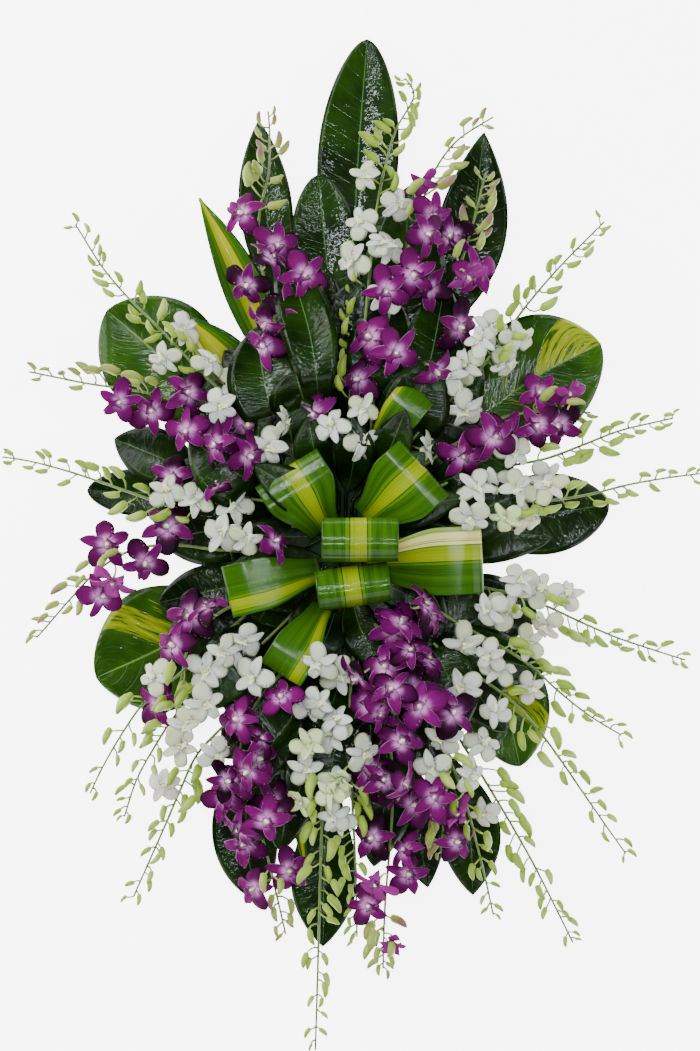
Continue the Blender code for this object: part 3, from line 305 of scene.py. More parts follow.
class Heights:
    """Highest point of what is already placed over each cell of the surface."""

    def __init__(self):
        self.size = (int(2 * HALF_X / CELL), int(2 * HALF_Y / CELL))
        self.top = np.zeros(self.size)

    def cells(self, points):
        x = np.clip(((points[:, 0] + HALF_X) / CELL).astype(int), 1, self.size[0] - 2)
        y = np.clip(((points[:, 1] + HALF_Y) / CELL).astype(int), 1, self.size[1] - 2)
        return x, y

    def needed(self, points):
        """How high above the zero of their own heights the points have to be lifted."""
        x, y = self.cells(points)
        below = self.top[x, y]
        gap = np.where(below > 0, DRAPE_CLEARANCE, SURFACE_CLEARANCE)
        return below + gap - points[:, 2]

    def place(self, points):
        x, y = self.cells(points)
        for i in (-1, 0, 1):
            for j in (-1, 0, 1):
                np.maximum.at(self.top, (x + i, y + j), points[:, 2])


def drape(stations, base, at, needed):
    """Smallest smooth height along the route that is above the base and lifts each sample clear."""
    height = base.copy()
    for place, need in zip(at, needed):
        height = np.maximum(height, need - DRAPE_BEND * (stations - place) ** 2)
    return height


def worst(at, needed, step=ROUTE_STEP):
    """The greatest need near each stretch of the route."""
    bins = {}
    for place, need in zip(at, needed):
        key = int(round(place / step))
        if need > bins.get(key, (-1e9, 0))[0]:
            bins[key] = (need, place)
    return [b[1] for b in bins.values()], [b[0] for b in bins.values()]


def half_width(t, greatest, widest, kind):
    """Half width of a blade, t from 0 at its base to 1 at its tip."""
    power = math.log(0.5) / math.log(widest)
    fullness = LEAF_KINDS[kind][1]
    t = np.clip(t, 0, 1)
    return greatest * np.maximum(np.sin(math.pi * t ** power), 0) ** fullness


class Leaf:
    """A leaf: its stalk stands in the foam's side and the blade follows the draped route."""

    def __init__(self, name, hole, route, width, widest, kind):
        self.name, self.kind, self.hole = name, kind, hole
        self.greatest, self.widest = width * 10.0, widest
        self.tone = random.Random(name).random()
        bare, _, self.fold, self.wave, self.columns, self.blade_rows = LEAF_KINDS[kind]
        points = np.array(route) * 10.0
        if abs(points[0][0]) >= FOAM_WIDTH / 2:
            self.out = np.array([math.copysign(1, points[0][0]), 0.0])
        else:
            self.out = np.array([0.0, math.copysign(1, points[0][1])])
        self.root = points[0]
        points[0] = points[0] + 5.0 * self.out
        self.stations, self.route = smooth_route(points)
        self.ahead, self.left = sideways(self.route)
        self.ahead[0], self.left[0] = self.out, (-self.out[1], self.out[0])
        self.total = self.stations[-1]
        self.blade_start = bare * self.total
        self.t = (self.stations - self.blade_start) / (self.total - self.blade_start)
        blade = half_width(self.t, width * 10.0, widest, kind)
        self.half = np.maximum(np.where(self.t > 0, blade, 0), STALK_RADIUS * 0.85)
        self.half[-1] = 0.9

    def surface(self, lateral):
        """Height over the midrib at each station for a share of the half width from -1 to 1."""
        fold = self.fold * self.half * abs(lateral)
        ripple = self.wave * lateral ** 2 * np.sin(9.0 * self.t + 2.0 * lateral) * (self.t > 0)
        return np.where(self.t > 0, fold, 0) + ripple * np.clip(self.half / 20.0, 0, 1)

    def samples(self, height, lift):
        """Points of the blade between its rows and columns, with the station of each."""
        rows = self.rows()
        shares = np.linspace(-1, 1, self.columns)
        bends = np.array([[np.interp(s, self.stations, self.surface(share)) for share in shares]
                          for s in rows])
        half = np.interp(rows, self.stations, self.half)
        found, at = [], []
        for share in np.linspace(-1, 1, 2 * max(1, int(self.half.max() / 3.0)) + 1):
            bend = [np.interp(share, shares, line) for line in bends]
            wide = np.interp(self.stations, rows, half)
            z = np.interp(self.stations, rows, np.interp(rows, self.stations, height) + bend) + lift
            found.append(np.column_stack([self.route + self.left * (wide * share)[:, None], z]))
            at.append(self.stations)
        return np.vstack(found), np.concatenate(at)

    def rows(self):
        """Stations of the blade's cross sections."""
        blade = self.total - self.blade_start
        return np.array([0, self.blade_start * 0.96, *(self.blade_start + blade
                                                       * np.linspace(0.09, 1.0, self.blade_rows))])

    def drape_on(self, heights):
        zero = np.zeros(len(self.stations))
        share = self.stations / self.total
        base = self.hole + 10.0 * np.sin(math.pi * share) - 4.0 * share
        points, at = self.samples(zero, -LEAF_CLEARANCE)
        needed = heights.needed(points)
        near_root = at > 30.0
        lifted = drape(self.stations, base, *worst(at[near_root], needed[near_root]))
        ease = np.clip(self.stations / 60.0, 0, 1)
        ease = ease * ease * (3 - 2 * ease)
        self.height = self.hole + (lifted - self.hole) * ease
        heights.place(self.samples(self.height, DRAPE_CLEARANCE)[0])


# Outline that a bloom's place is tested with: angle from its top (degrees), reach and lift as
# shares of its radius
PETALS = [(0, 1.0, 0.10), (32, 0.44, -0.05), (74, 1.0, 0.14), (116, 0.42, -0.05), (148, 0.96, 0.04),
          (180, 0.38, -0.04)]
OUTLINE = PETALS + [(360 - a, r, z) for a, r, z in reversed(PETALS[1:-1])]


def spin(flower, degrees):
    """Turns a bloom in its own plane."""
    right, up, facing = flower["frame"]
    c, s = math.cos(math.radians(degrees)), math.sin(math.radians(degrees))
    flower["frame"] = np.array([right * c + up * s, up * c - right * s, facing])


def bloom_frame(facing, up):
    """Right, up and facing directions, square to each other."""
    facing = facing / np.linalg.norm(facing)
    up = up - facing * up.dot(facing)
    up /= np.linalg.norm(up)
    return np.cross(up, facing), up, facing


def bloom_outline(centre, frame, radius, share=1.0):
    right, up, facing = frame
    points = []
    for angle, reach, lift in OUTLINE:
        a = math.radians(angle)
        points.append(centre + radius * share * reach * (math.sin(a) * right + math.cos(a) * up)
                      + radius * lift * share * facing)
    return np.array(points)


class Spray:
    """An orchid spray: a stem from the foam's top, blooms on its lower part and buds to the tip."""

    def __init__(self, name, root, route, colour, blooms, buds, first, last):
        self.name, self.colour = name, colour
        self.root = np.array(root) * 10.0
        self.stations, self.route = smooth_route(np.array([root] + route) * 10.0)
        self.ahead, self.left = sideways(self.route)
        self.total = self.stations[-1]
        self.blooms, self.buds, self.first, self.last = blooms, buds, first, last
        self.chance, self.looks = random.Random(name), random.Random(name + " looks")
        self.flowers = []

    def drape_stem(self, heights):
        """The stem lies over the leaves and over the stems that are there already."""
        outside = self.stations > 2 * ROUTE_STEP
        under = np.column_stack([self.route, np.full(len(self.route), -STEM_RADIUS - SAG)])
        needed = heights.needed(under)[outside]
        share = self.stations / self.total
        arch = STEM_ARCH * np.sin(math.pi * np.minimum(1, 1.2 * share))
        base = FOAM_TOP + STEM_START + arch - STEM_DROOP * share ** 2
        height = drape(self.stations, base, self.stations[outside], needed)
        picks = [*range(2, len(self.stations) - 1, STATIONS_A_LENGTH), len(self.stations) - 1]
        self.joints = self.stations[picks]
        self.corners = np.column_stack([self.route[picks], height[picks]])
        dense = np.arange(self.joints[0], self.total, 3.0)
        heights.place(np.array([self.stem_at(s) for s in dense]) + [0, 0, STEM_RADIUS])
        column = np.linspace(FOAM_TOP, height[2], 8)
        heights.place(np.column_stack([np.tile(self.root, (8, 1)), column]))

    def smooth_at(self, s):
        """A point of the smooth stem, which runs through the corners of the solid's stem."""
        i = int(np.clip(np.searchsorted(self.joints, s) - 1, 0, len(self.joints) - 2))
        t = (s - self.joints[i]) / (self.joints[i + 1] - self.joints[i])
        near = self.corners[[max(i - 1, 0), i, i + 1, min(i + 2, len(self.corners) - 1)]]
        return curve_between(near, t)

    def add_rest(self, heights, loops):
        """Fills the spray up: more blooms between the first ones, and small buds out to the tip."""
        for flower in self.flowers:
            self.dress(flower)
            if flower["kind"] == "bloom":
                spin(flower, 72 * self.looks.randrange(5) + self.looks.uniform(-14, 14))
        more = random.Random(self.name + " more")
        for i in range(round(self.blooms * MORE_BLOOMS.get(self.name, MORE_BLOOMS[self.colour]))):
            share = MORE_START + (self.last + PAST_LAST - MORE_START) * more.random()
            size = BLOOM_RADIUS[self.colour] * more.uniform(0.8, 1.0)
            size = size * (1 - 0.3 * max(0, share - self.last) / PAST_LAST)
            self.tuck(heights, loops, "bloom", share, size, more)
        start = max(0.2, self.last - BUD_START[self.colour])
        for i in range(round(self.buds * MORE_BUDS)):
            share = start + (1.0 - start) * (i + more.uniform(0.1, 0.9)) / (self.buds * MORE_BUDS)
            rest = (share - start) / (1 - start)
            size = (1.2 - 0.2 * rest - 0.52 * rest ** 2) * more.uniform(0.75, 1.12)
            self.tuck(heights, loops, "bud", share, size, more)

    def tuck(self, heights, loops, kind, share, size, more):
        """Puts one more flower where it is lifted least, with its heart clear of the others and of
        the rolled leaves."""
        lean = np.array([more.uniform(-MORE_LEAN, MORE_LEAN), more.uniform(-MORE_LEAN, MORE_LEAN), 0])
        turn = more.uniform(-MORE_TURN, MORE_TURN)
        reach = more.uniform(*BUD_REACH)
        best = None
        for shift in MORE_SHIFTS[kind]:
            for side in (1, -1):
                for swing in MORE_SWINGS[kind]:
                    s = min(max(share * self.total + shift, self.joints[0] + 4), self.total - 1.0)
                    flower = self.posed(kind, s, side, math.radians(swing), size, lean * side, turn)
                    if kind == "bud":
                        flower["centre"] = flower["root"] + (flower["centre"] - flower["root"]) * reach
                    cost = self.settle(heights, flower, False) + MORE_SHIFT_COST * abs(shift)
                    cost += CHANCE_COST * more.random()
                    if best is None or cost < best[0]:
                        best = (cost, flower)
        cost, flower = best
        if cost > MOST_LIFT[kind] or flower["centre"][2] > HIGHEST_FLOWER:
            return
        if any(loop.covers(flower["centre"][:2], LOOP_MARGIN) for loop in loops):
            return
        points, thick = self.samples_of(flower)
        heights.place(points + [0, 0, thick])
        self.dress(flower, share)
        self.flowers.append(flower)

    def dress(self, flower, share=0.0):
        """Tone, and which template or bend, of a flower; those near the buds are still opening."""
        looks = self.looks
        flower["tone"] = 0.8 * looks.random()
        if flower["kind"] == "bloom":
            first, count = 0, len(OPENNESS) - OPENING
            if share > self.last - OPENING_SHARE[self.colour]:
                first, count = count, OPENING
                flower["tone"] = 1.0
            flower["template"] = first + looks.randrange(count)
            if share:
                spin(flower, looks.uniform(0, 360))
        else:
            ahead = np.array([*self.ahead[-1], 0.1])
            loose = np.array([looks.uniform(-reach, reach) for reach in (0.5, 0.5, 0.3)])
            flower["axis"] = flower["way"] * 0.8 + ahead * looks.uniform(-0.1, 1.1) + loose
            flower["axis"] /= np.linalg.norm(flower["axis"])
            flower["bend"] = np.cross(flower["axis"], np.cross(ahead + loose + [0, 0, 0.4], flower["axis"]))
            flower["bend"] /= np.linalg.norm(flower["bend"])
            flower["arch"] = looks.uniform(-1.0, 1.0)

    def stem_at(self, s):
        return values_at(s, self.joints, self.corners)

    def start_outside(self, loops):
        """Moves the first bloom outward until it is clear of the loops."""
        while self.first < self.last - 0.15 and any(
                loop.covers(self.stem_at(self.first * self.total)[:2], BLOOM_START) for loop in loops):
            self.first += 0.01

    def place_bloom(self, heights, i):
        share = self.first + (self.last - self.first) * (i + 0.5) / self.blooms
        age = i / max(1, self.blooms - 1)
        size = BLOOM_RADIUS[self.colour] * (FIRST_SIZE - SIZE_LOSS * age)
        self.place(heights, "bloom", share, 1 if i % 2 else -1, size * self.chance.uniform(0.93, 1.05))

    def place_bud(self, heights, i):
        share = min(0.995, self.last + (1.0 - self.last) * (i + 0.7) / self.buds)
        self.place(heights, "bud", share, 1 if i % 2 else -1, 1.0 - 0.4 * (i + 1) / self.buds)

    def place(self, heights, kind, share, side, size):
        """Puts the flower where it has to be lifted least, near its place on the stem."""
        lean = np.array([self.chance.uniform(-0.3, 0.3), self.chance.uniform(-0.3, 0.3), 0])
        turn = self.chance.uniform(-0.5, 0.5)
        best = None
        for shift in SHIFTS[kind]:
            for other in (1, -1):
                for swing in SWINGS[kind]:
                    s = min(max(share * self.total + shift, self.joints[0] + 4), self.total - 1.0)
                    flower = self.posed(kind, s, side * other, math.radians(swing), size, lean, turn)
                    cost = self.settle(heights, flower) + SHIFT_COST * abs(shift)
                    cost += SIDE_COST if other < 0 else 0.0
                    if best is None or cost < best[0]:
                        best = (cost, flower)
        if best[0] > BLOCKED:
            return
        flower = best[1]
        points, thick = self.samples_of(flower)
        heights.place(points + [0, 0, thick])
        trail = [flower["root"] + (flower["centre"] - flower["root"]) * t for t in np.linspace(0.1, 1, 12)]
        heights.place(np.array(trail) + [0, 0, PEDICEL_RADIUS])
        self.flowers.append(flower)

    def posed(self, kind, s, side, swing, size, lean, turn):
        ahead = np.append(values_at(s, self.stations, self.ahead), 0.0)
        left = np.append(values_at(s, self.stations, self.left), 0.0)
        root = self.stem_at(s)
        upright = np.array([0, 0, 1.0])
        slant = 0.25 if kind == "bloom" else 0.7
        way = math.cos(swing) * upright + math.sin(swing) * side * left + slant * ahead
        way /= np.linalg.norm(way)
        if kind == "bud":
            return {"kind": kind, "root": root, "centre": root + BUD_PEDICEL * size * way, "way": way,
                    "length": BUD_LENGTH * size, "width": BUD_WIDTH * size}
        frame = bloom_frame(upright + 0.4 * side * left + lean, np.array([turn, 1.0, 0.2]) - 0.3 * ahead)
        return {"kind": kind, "root": root, "centre": root + PEDICEL_LENGTH * way, "radius": size,
                "frame": frame}

    def settle(self, heights, flower, whole=True):
        """Lifts the flower, or its heart alone if not whole, clear of what is below it and returns
        the lift, more if it is blocked."""
        points, thick = self.samples_of(flower)
        if not whole:
            points = points[:int(len(points) * HEART)]
        lift = max(0.0, heights.needed(points - [0, 0, thick]).max())
        flower["centre"] = flower["centre"] + [0, 0, lift]
        step = flower["centre"] - flower["root"]
        trail = np.array([flower["root"] + step * t for t in np.linspace(0.0, 1.0, 10)])
        apart = np.linalg.norm((trail - flower["root"])[:, :2], axis=1)
        crossing = (heights.needed(trail - [0, 0, PEDICEL_RADIUS]) > 0) & (apart > 7.5)
        x, y = heights.cells(flower["root"][None])
        covered = heights.top[x, y][0] > flower["root"][2] + STEM_RADIUS + 1.5
        return lift + (2 * BLOCKED if whole and (covered or crossing.any()) else 0.0)

    def samples_of(self, flower):
        """Points of the flower's middle surface, and half its thickness."""
        centre = flower["centre"]
        if flower["kind"] == "bud":
            line = np.outer(np.linspace(0, 1, 6), flower["way"] * flower["length"])
            return centre + line, flower["width"] / 2
        found = []
        for share in (0.3, 0.55, 0.8, 1.0):
            rim = bloom_outline(centre, flower["frame"], flower["radius"], share)
            for t in (0.0, 0.25, 0.5, 0.75):
                found.append(rim * (1 - t) + np.roll(rim, -1, axis=0) * t)
        return np.vstack(found), BLOOM_DEPTH


class Loop:
    """A leaf folded back on itself, on a stalk that stands in the foam's top."""

    def __init__(self, name, foot, fold, width, height, tilt, shape):
        self.name = name
        foot, fold = np.array(foot) * 10.0, np.array(fold) * 10.0
        self.way = (fold - foot) / np.linalg.norm(fold - foot)
        self.side = np.array([-self.way[1], self.way[0]])
        self.rolled = shape == "rolled"
        overhang = 0.0 if self.rolled else LOOP_OVERHANG
        self.length = np.linalg.norm(fold - foot) + overhang
        self.middle = (fold + foot) / 2 - self.way * overhang / 2
        self.foot = (fold + foot) / 2 if self.rolled else foot
        self.width, self.tall, self.tilt = width * 10.0, height * 10.0, math.radians(tilt)

    def narrowing(self, along):
        """Share of the full width, along from -1 at the foot to 1 at the fold."""
        if self.rolled:
            return 1.0
        rise = np.minimum(1.0, (along + 1) / LOOP_SHOULDER)
        return LOOP_WAIST + (1 - LOOP_WAIST) * rise * rise * (3 - 2 * rise)

    def pinch(self, along):
        """Share of the full height, along from -1 at the foot to 1 at the fold."""
        return 1.0 if self.rolled else LOOP_PINCH + (1 - LOOP_PINCH) * (along + 1) / 2

    def strip(self, angle, across):
        """A point of the strip: an ellipse, pinched towards the loop's stalk and tilted about it."""
        along = math.cos(angle)
        pinch = self.pinch(along)
        u = self.length / 2 * along
        w = self.tall / 2 * pinch * math.sin(angle) + self.tall / 2 * pinch
        u, w = u * math.cos(self.tilt) - w * math.sin(self.tilt), (
            w * math.cos(self.tilt) + (u + self.length / 2) * math.sin(self.tilt))
        xy = self.middle + self.way * u + self.side * across * self.narrowing(along)
        return np.array([xy[0], xy[1], w])

    def covers(self, point, margin):
        """Whether a point of the plan lies within the margin of the loop's outline."""
        from_middle = point - self.middle
        u, v = from_middle.dot(self.way), from_middle.dot(self.side)
        half = self.width / 2 * self.narrowing(np.clip(2 * u / self.length, -1, 1))
        return abs(u) < self.length / 2 + margin and abs(v) < half + margin

    def drape_on(self, heights):
        points = []
        for angle in np.linspace(0, 2 * math.pi, 48, endpoint=False):
            for across in np.linspace(-self.width / 2, self.width / 2, 25):
                points.append(self.strip(angle, across))
        points = np.array(points)
        low = points.copy()
        low[:, 2] -= LOOP_CLEARANCE
        self.lift = heights.needed(low).max()
        points[:, 2] += self.lift + LOOP_CLEARANCE
        heights.place(points)

    def foot_height(self):
        """Where the stalk ends, just inside the loop."""
        lower = [self.strip(angle, 0.0) for angle in np.linspace(math.pi, 2 * math.pi, 200)]
        nearest = min(lower, key=lambda p: abs((p[:2] - self.foot).dot(self.way)))
        return nearest[2] + self.lift + 3.0


# Flowers that the solids leave out: how many for each one of theirs, by spray or else by colour
MORE_BLOOMS = {
    "purple": 0.4, "white": 0.12, "purple_spray_bottom_left": 1.3, "purple_spray_bottom_right": 1.4,
    "purple_spray_centre_low": 1.8, "white_spray_bottom": 0.6,
}
MORE_BUDS = 3.4
# Shares of the stem where these blooms start, how far they go past the last one of the solids, and
# how far before it the buds start
MORE_START = 0.03
PAST_LAST = 0.06
BUD_START = {"purple": 0.03, "white": 0.05}
# Where they may move along the stem (mm), how far they swing out (degrees), lean and turn, how far
# out on its stalk a bud may sit, and what a move and chance count for in the choice of a place
MORE_SHIFTS = {"bloom": (0, 7, -7, 15, -15), "bud": (0, 4, -4)}
MORE_SWINGS = {"bloom": (25, 45, 65, 82), "bud": (45, 65, 85, 100)}
MORE_LEAN = 1.5
MORE_TURN = 1.6
BUD_REACH = (1.0, 1.9)
MORE_SHIFT_COST = 0.2
CHANCE_COST = 2.0
# Greatest lift, greatest height and least distance from a rolled leaf (mm)
MOST_LIFT = {"bloom": 46.0, "bud": 40.0}
HIGHEST_FLOWER = 192.0
LOOP_MARGIN = 5.0
# How far open each template of a bloom is. The last ones are still opening, and stand within the
# given share of the stem from its last bloom.
OPENNESS = (1.0, 1.03, 0.97, 1.0, 0.92, 1.05, 0.95, 0.85, 0.72, 0.55, 0.35)
OPENING = 3
OPENING_SHARE = {"purple": 0.12, "white": 0.2}

# Leaves that the solids leave out: low between the others, and over the foam's top
BACKING_LEAVES = 60
BACKING_STEP = 17
BACKING_REACH = (235.0, 355.0)
COLLAR_LEAVES = 17
COLLAR_STEP = 5
# Route in centimetres and half width of each larger filling leaf
BEHIND_LEAVES = [
    (((3.0, 12.0), (6.0, 25.0), (6.9, 38.8)), 4.5),
    (((-13.5, 6.5), (-19.0, 9.0), (-25.0, 11.5)), 3.0),
    (((2.0, -12.0), (4.0, -24.0), (4.5, -33.0)), 4.0),
    (((-2.0, -14.0), (-5.5, -24.0), (-7.0, -33.0)), 3.2),
]
FILLER_ROWS = 36
FILLER_COLUMNS = 8

# Sideways place of the yellow stripe on each rolled leaf, as a share of half its width, and which of
# them has a cream band beside it
STRIPE_SHIFTS = (-0.55, -0.6, -0.95, -0.22, -0.1, 0.09, -0.03, -0.04)
CREAM = (0, 0, 0, 1, 0, 0, 0, 0)

# Floor, camera and light, in metres and watts, and the sensor in millimetres
FLOOR_REACH = 40.0
SENSOR_WIDTH = 36.0
CAMERA_DISTANCE = 5.0
FLOWER_LEVEL = 0.045
LIT_POINT = (0, 0, 0.08)
SKY = 0.05
FLOOR_GLOW = 5.4
# Name, place, size, strength and colour of each light
LIGHTS = [
    ("left_window", (-2.3, 1.7, 1.8), (2.8, 2.2), 240.0, (1.0, 0.99, 0.97)),
    ("right_window", (2.3, 0.1, 1.6), (1.9, 1.9), 60.0, (0.96, 0.98, 1.0)),
    ("foot_window", (0.1, -2.6, 1.6), (1.9, 1.6), 44.0, (1.0, 1.0, 1.0)),
    ("ceiling_strip", (-0.42, 0.65, 2.7), (0.04, 1.3), 50.0, (0.88, 0.95, 1.0)),
    ("ceiling_strip_right", (0.62, 0.25, 2.7), (0.035, 1.1), 26.0, (0.88, 0.95, 1.0)),
    ("ceiling_strip_foot", (0.15, -0.75, 2.7), (0.9, 0.035), 20.0, (0.88, 0.95, 1.0)),
]


# Fine surfaces
LEAF_ROWS = 84
LEAF_COLUMNS = 14
LEAF_EDGE = 0.35
LEAF_RIB = 0.9
STALK_ROUND = 1.7
VEIN_PAIRS = {"dark": 13, "broad": 13, "pothos": 9, "striped": 0, "filler": 11}
VEIN_RELIEF = {"dark": 0.14, "broad": 0.14, "pothos": 0.2, "striped": 0.0, "filler": 0.14}
# How far towards the tip a side vein runs on its way to the edge, in steps between veins
VEIN_SLANT = {"dark": 0.9, "broad": 0.9, "pothos": 3.0, "striped": 0.9, "filler": 0.9}
LOOP_ROWS = 84
LOOP_COLUMNS = 10
LOOP_EDGE = 0.8
STEM_RINGS = 64
STEM_ROUND_SIDES = 8
STEM_TIP_RADIUS = 1.0
JOINT_STEP = 30.0


def unit(vectors):
    """Vectors of the last axis, each divided by its length."""
    return vectors / np.maximum(np.linalg.norm(vectors, axis=-1, keepdims=True), 1e-9)


def skin_faces(rows, ring):
    """Faces of a closed tube: quads between neighbouring rings of points, and at each end a fan of
    triangles to one pole. The two poles follow the rings."""
    i, j = np.meshgrid(np.arange(rows - 1), np.arange(ring), indexing="ij")
    k = (j + 1) % ring
    quads = np.stack([i * ring + j, i * ring + k, (i + 1) * ring + k, (i + 1) * ring + j], -1)
    j = np.arange(ring)
    k = (j + 1) % ring
    last = (rows - 1) * ring
    start = np.stack([np.full(ring, rows * ring), k, j], 1)
    end = np.stack([np.full(ring, rows * ring + 1), last + j, last + k], 1)
    return quads.reshape(-1, 4), np.vstack([start, end])


def closed_points(rings):
    """Points of a closed tube in the order of skin_faces; each pole is the mean of its end ring.
    The rings are an array of copies, rows, ring points and values."""
    copies, values = rings.shape[0], rings.shape[-1]
    poles = np.stack([rings[:, 0].mean(axis=1), rings[:, -1].mean(axis=1)], 1)
    return np.concatenate([rings.reshape(copies, -1, values), poles], 1)


def repeated_faces(face_sets, copies, size):
    """The faces of so many skins of the same size that follow each other."""
    offsets = size * np.arange(copies)
    return [(face[None] + offsets[:, None, None]).reshape(-1, face.shape[1]) for face in face_sets]


def guide_of(rings, along, across, side, tone):
    """The guide on every point of the rings: along, across, side and tone."""
    return np.stack(np.broadcast_arrays(along + 0 * rings[..., 0], across, side, tone), -1)


def template_of(rings, along, across, side, tone):
    """Points and guides of one closed skin, to be copied."""
    guide = guide_of(rings, along, across, side, tone)
    return closed_points(rings[None])[0], closed_points(guide[None])[0]


class Bag:
    """Collects closed skins and makes one mesh of them, with a colour guide on every point."""

    def __init__(self):
        self.points, self.guides, self.faces, self.finish = [], [], [], []
        self.count = 0

    def add(self, points, guides, faces, finish=0):
        """Copies of one skin: points in millimetres, guides (along, across, side, tone), both as
        copies by points by values, and the faces of one copy."""
        copies, size = points.shape[:2]
        for face in repeated_faces(faces, copies, size):
            self.faces.append(face + self.count)
            self.finish.append(np.full(len(face), finish))
        self.points.append(points.reshape(-1, 3))
        self.guides.append(guides.reshape(-1, 4))
        self.count += copies * size

    def piece(self, name, finishes, node=None):
        """The collected skins as one object, which stands for the solid's node if there is one."""
        mesh = bpy.data.meshes.new(name)
        corners = np.concatenate([face.ravel() for face in self.faces])
        totals = np.concatenate([np.full(len(face), face.shape[1]) for face in self.faces])
        mesh.vertices.add(self.count)
        mesh.vertices.foreach_set("co", (np.vstack(self.points) * MM).astype(np.float32).ravel())
        mesh.loops.add(len(corners))
        mesh.loops.foreach_set("vertex_index", corners.astype(np.int32))
        mesh.polygons.add(len(totals))
        starts = np.concatenate([[0], np.cumsum(totals)[:-1]])
        mesh.polygons.foreach_set("loop_start", starts.astype(np.int32))
        mesh.polygons.foreach_set("loop_total", totals.astype(np.int32))
        mesh.polygons.foreach_set("material_index", np.concatenate(self.finish).astype(np.int32))
        values = np.vstack(self.guides).astype(np.float32)
        guide = mesh.attributes.new("guide", "FLOAT_VECTOR", "POINT")
        guide.data.foreach_set("vector", values[:, :3].ravel())
        tone = mesh.attributes.new("tone", "FLOAT", "POINT")
        tone.data.foreach_set("value", values[:, 3].copy())
        mesh.update(calc_edges=True)
        mesh.shade_smooth()
        for finish in finishes:
            mesh.materials.append(finish)
        made = bpy.data.objects.new(name, mesh)
        bpy.context.scene.collection.objects.link(made)
        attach(made, "root")
        if node:
            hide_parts(node)


def blade_ring(columns):
    """Share across a blade for each point of its ring, from its left edge over the upper side to the
    right edge and back below, and how far the point stands out of the middle surface, from 1 above
    to -1 below: the root of one minus the square of the share."""
    over = np.linspace(1, -1, columns + 1)
    across = np.concatenate([over[:-1], -over[:-1]])
    side = np.concatenate([np.ones(columns), -np.ones(columns)])
    return across, side * np.sqrt(np.maximum(0, 1 - across ** 2))


def flat_ring(columns):
    """As blade_ring, but the strip has its full thickness almost out to its edges, which are kept
    crisp by a second row of points close to them."""
    inner = np.concatenate([[0.985], np.linspace(0.95, -0.95, columns - 3), [-0.985]])
    across = np.concatenate([[1.0], inner, [-1.0], -inner])
    side = np.concatenate([[0.0], np.ones(columns - 1), [0.0], -np.ones(columns - 1)])
    return across, side


def leaf_skin(leaf, bag, rows=LEAF_ROWS, columns=LEAF_COLUMNS):
    """A leaf: the point at a share across is the route's point plus that share of the half width to
    the left, raised by the draped height, the fold along the midrib, the waves of the edge and the
    quilting between the side veins. The bare stalk is round."""
    spread = np.linspace(0, 1, rows)
    stations = leaf.total * (0.6 * spread + 0.4 * np.sin(math.pi * spread / 2))
    t = (stations - leaf.blade_start) / (leaf.total - leaf.blade_start)
    blade = np.where(t > 0, half_width(t, leaf.greatest, leaf.widest, leaf.kind), 0)
    half = np.maximum(blade, STALK_RADIUS * 0.85)
    half[-1] = 0.4
    opened = np.clip((half - STALK_RADIUS) / 8.0, 0, 1)
    across, side = blade_ring(columns)
    route = values_at(stations, leaf.stations, leaf.route)
    left = unit(values_at(stations, leaf.stations, leaf.left))
    height = np.interp(stations, leaf.stations, leaf.height)
    share = np.abs(across)[None]
    fold = leaf.fold * half[:, None] * (np.sqrt(share ** 2 + 0.01) - 0.1)
    phase = 9.0 * t[:, None] + 2.0 * across[None]
    ripple = leaf.wave * share ** 2 * np.sin(phase) * np.clip(half / 20.0, 0, 1)[:, None]
    veins = t[:, None] * VEIN_PAIRS[leaf.kind] - VEIN_SLANT[leaf.kind] * share
    quilt = VEIN_RELIEF[leaf.kind] * np.abs(np.sin(math.pi * veins))
    quilt = quilt * np.sin(math.pi * np.minimum(share, 0.97))
    rise = np.where(t[:, None] > 0, fold + ripple + quilt * opened[:, None], 0)
    middle = np.exp(-(across / 0.12) ** 2)[None] * np.clip(1 - t, 0, 1)[:, None]
    thick = STALK_ROUND + (LEAF_EDGE - STALK_ROUND) * opened[:, None] + LEAF_RIB * opened[:, None] * middle
    groove = -0.5 * opened[:, None] * np.exp(-(across / 0.07) ** 2)[None] * (side > 0)
    xy = route[:, None] + left[:, None] * (half[:, None] * across[None])[..., None]
    z = height[:, None] + rise + thick * side[None] + groove
    rings = np.concatenate([xy, z[..., None]], -1)
    guide = guide_of(rings, t[:, None], across, side, leaf.tone)
    inner = rings[:1] - np.append(STALK_DEPTH * leaf.out, 0)
    rings = np.concatenate([inner, rings])
    guide = np.concatenate([guide[:1], guide])
    bag.add(closed_points(rings[None]), closed_points(guide[None]), skin_faces(rows + 1, 2 * columns))


def make_leaf(leaf, finishes):
    """One leaf as a piece; a finish under the leaf's own name comes before that of its kind."""
    bag = Bag()
    leaf_skin(leaf, bag)
    finish = finishes.get(leaf.name, finishes[leaf.kind])
    bag.piece(leaf.name + "_blade", [finish], leaf.name)


def round_the_tray(place, places, chance):
    """Angle of one of so many even places round the tray, a little off by chance."""
    return 2 * math.pi * (place % places + chance.uniform(-0.3, 0.3)) / places


def laid_filler(heights, name, hole, points, width, widest):
    """A filling leaf that lies on what is below it: points in millimetres, half width in centimetres."""
    leaf = Leaf(name, hole, [tuple(point / 10) for point in points], width, widest, "filler")
    leaf.drape_on(heights)
    return leaf


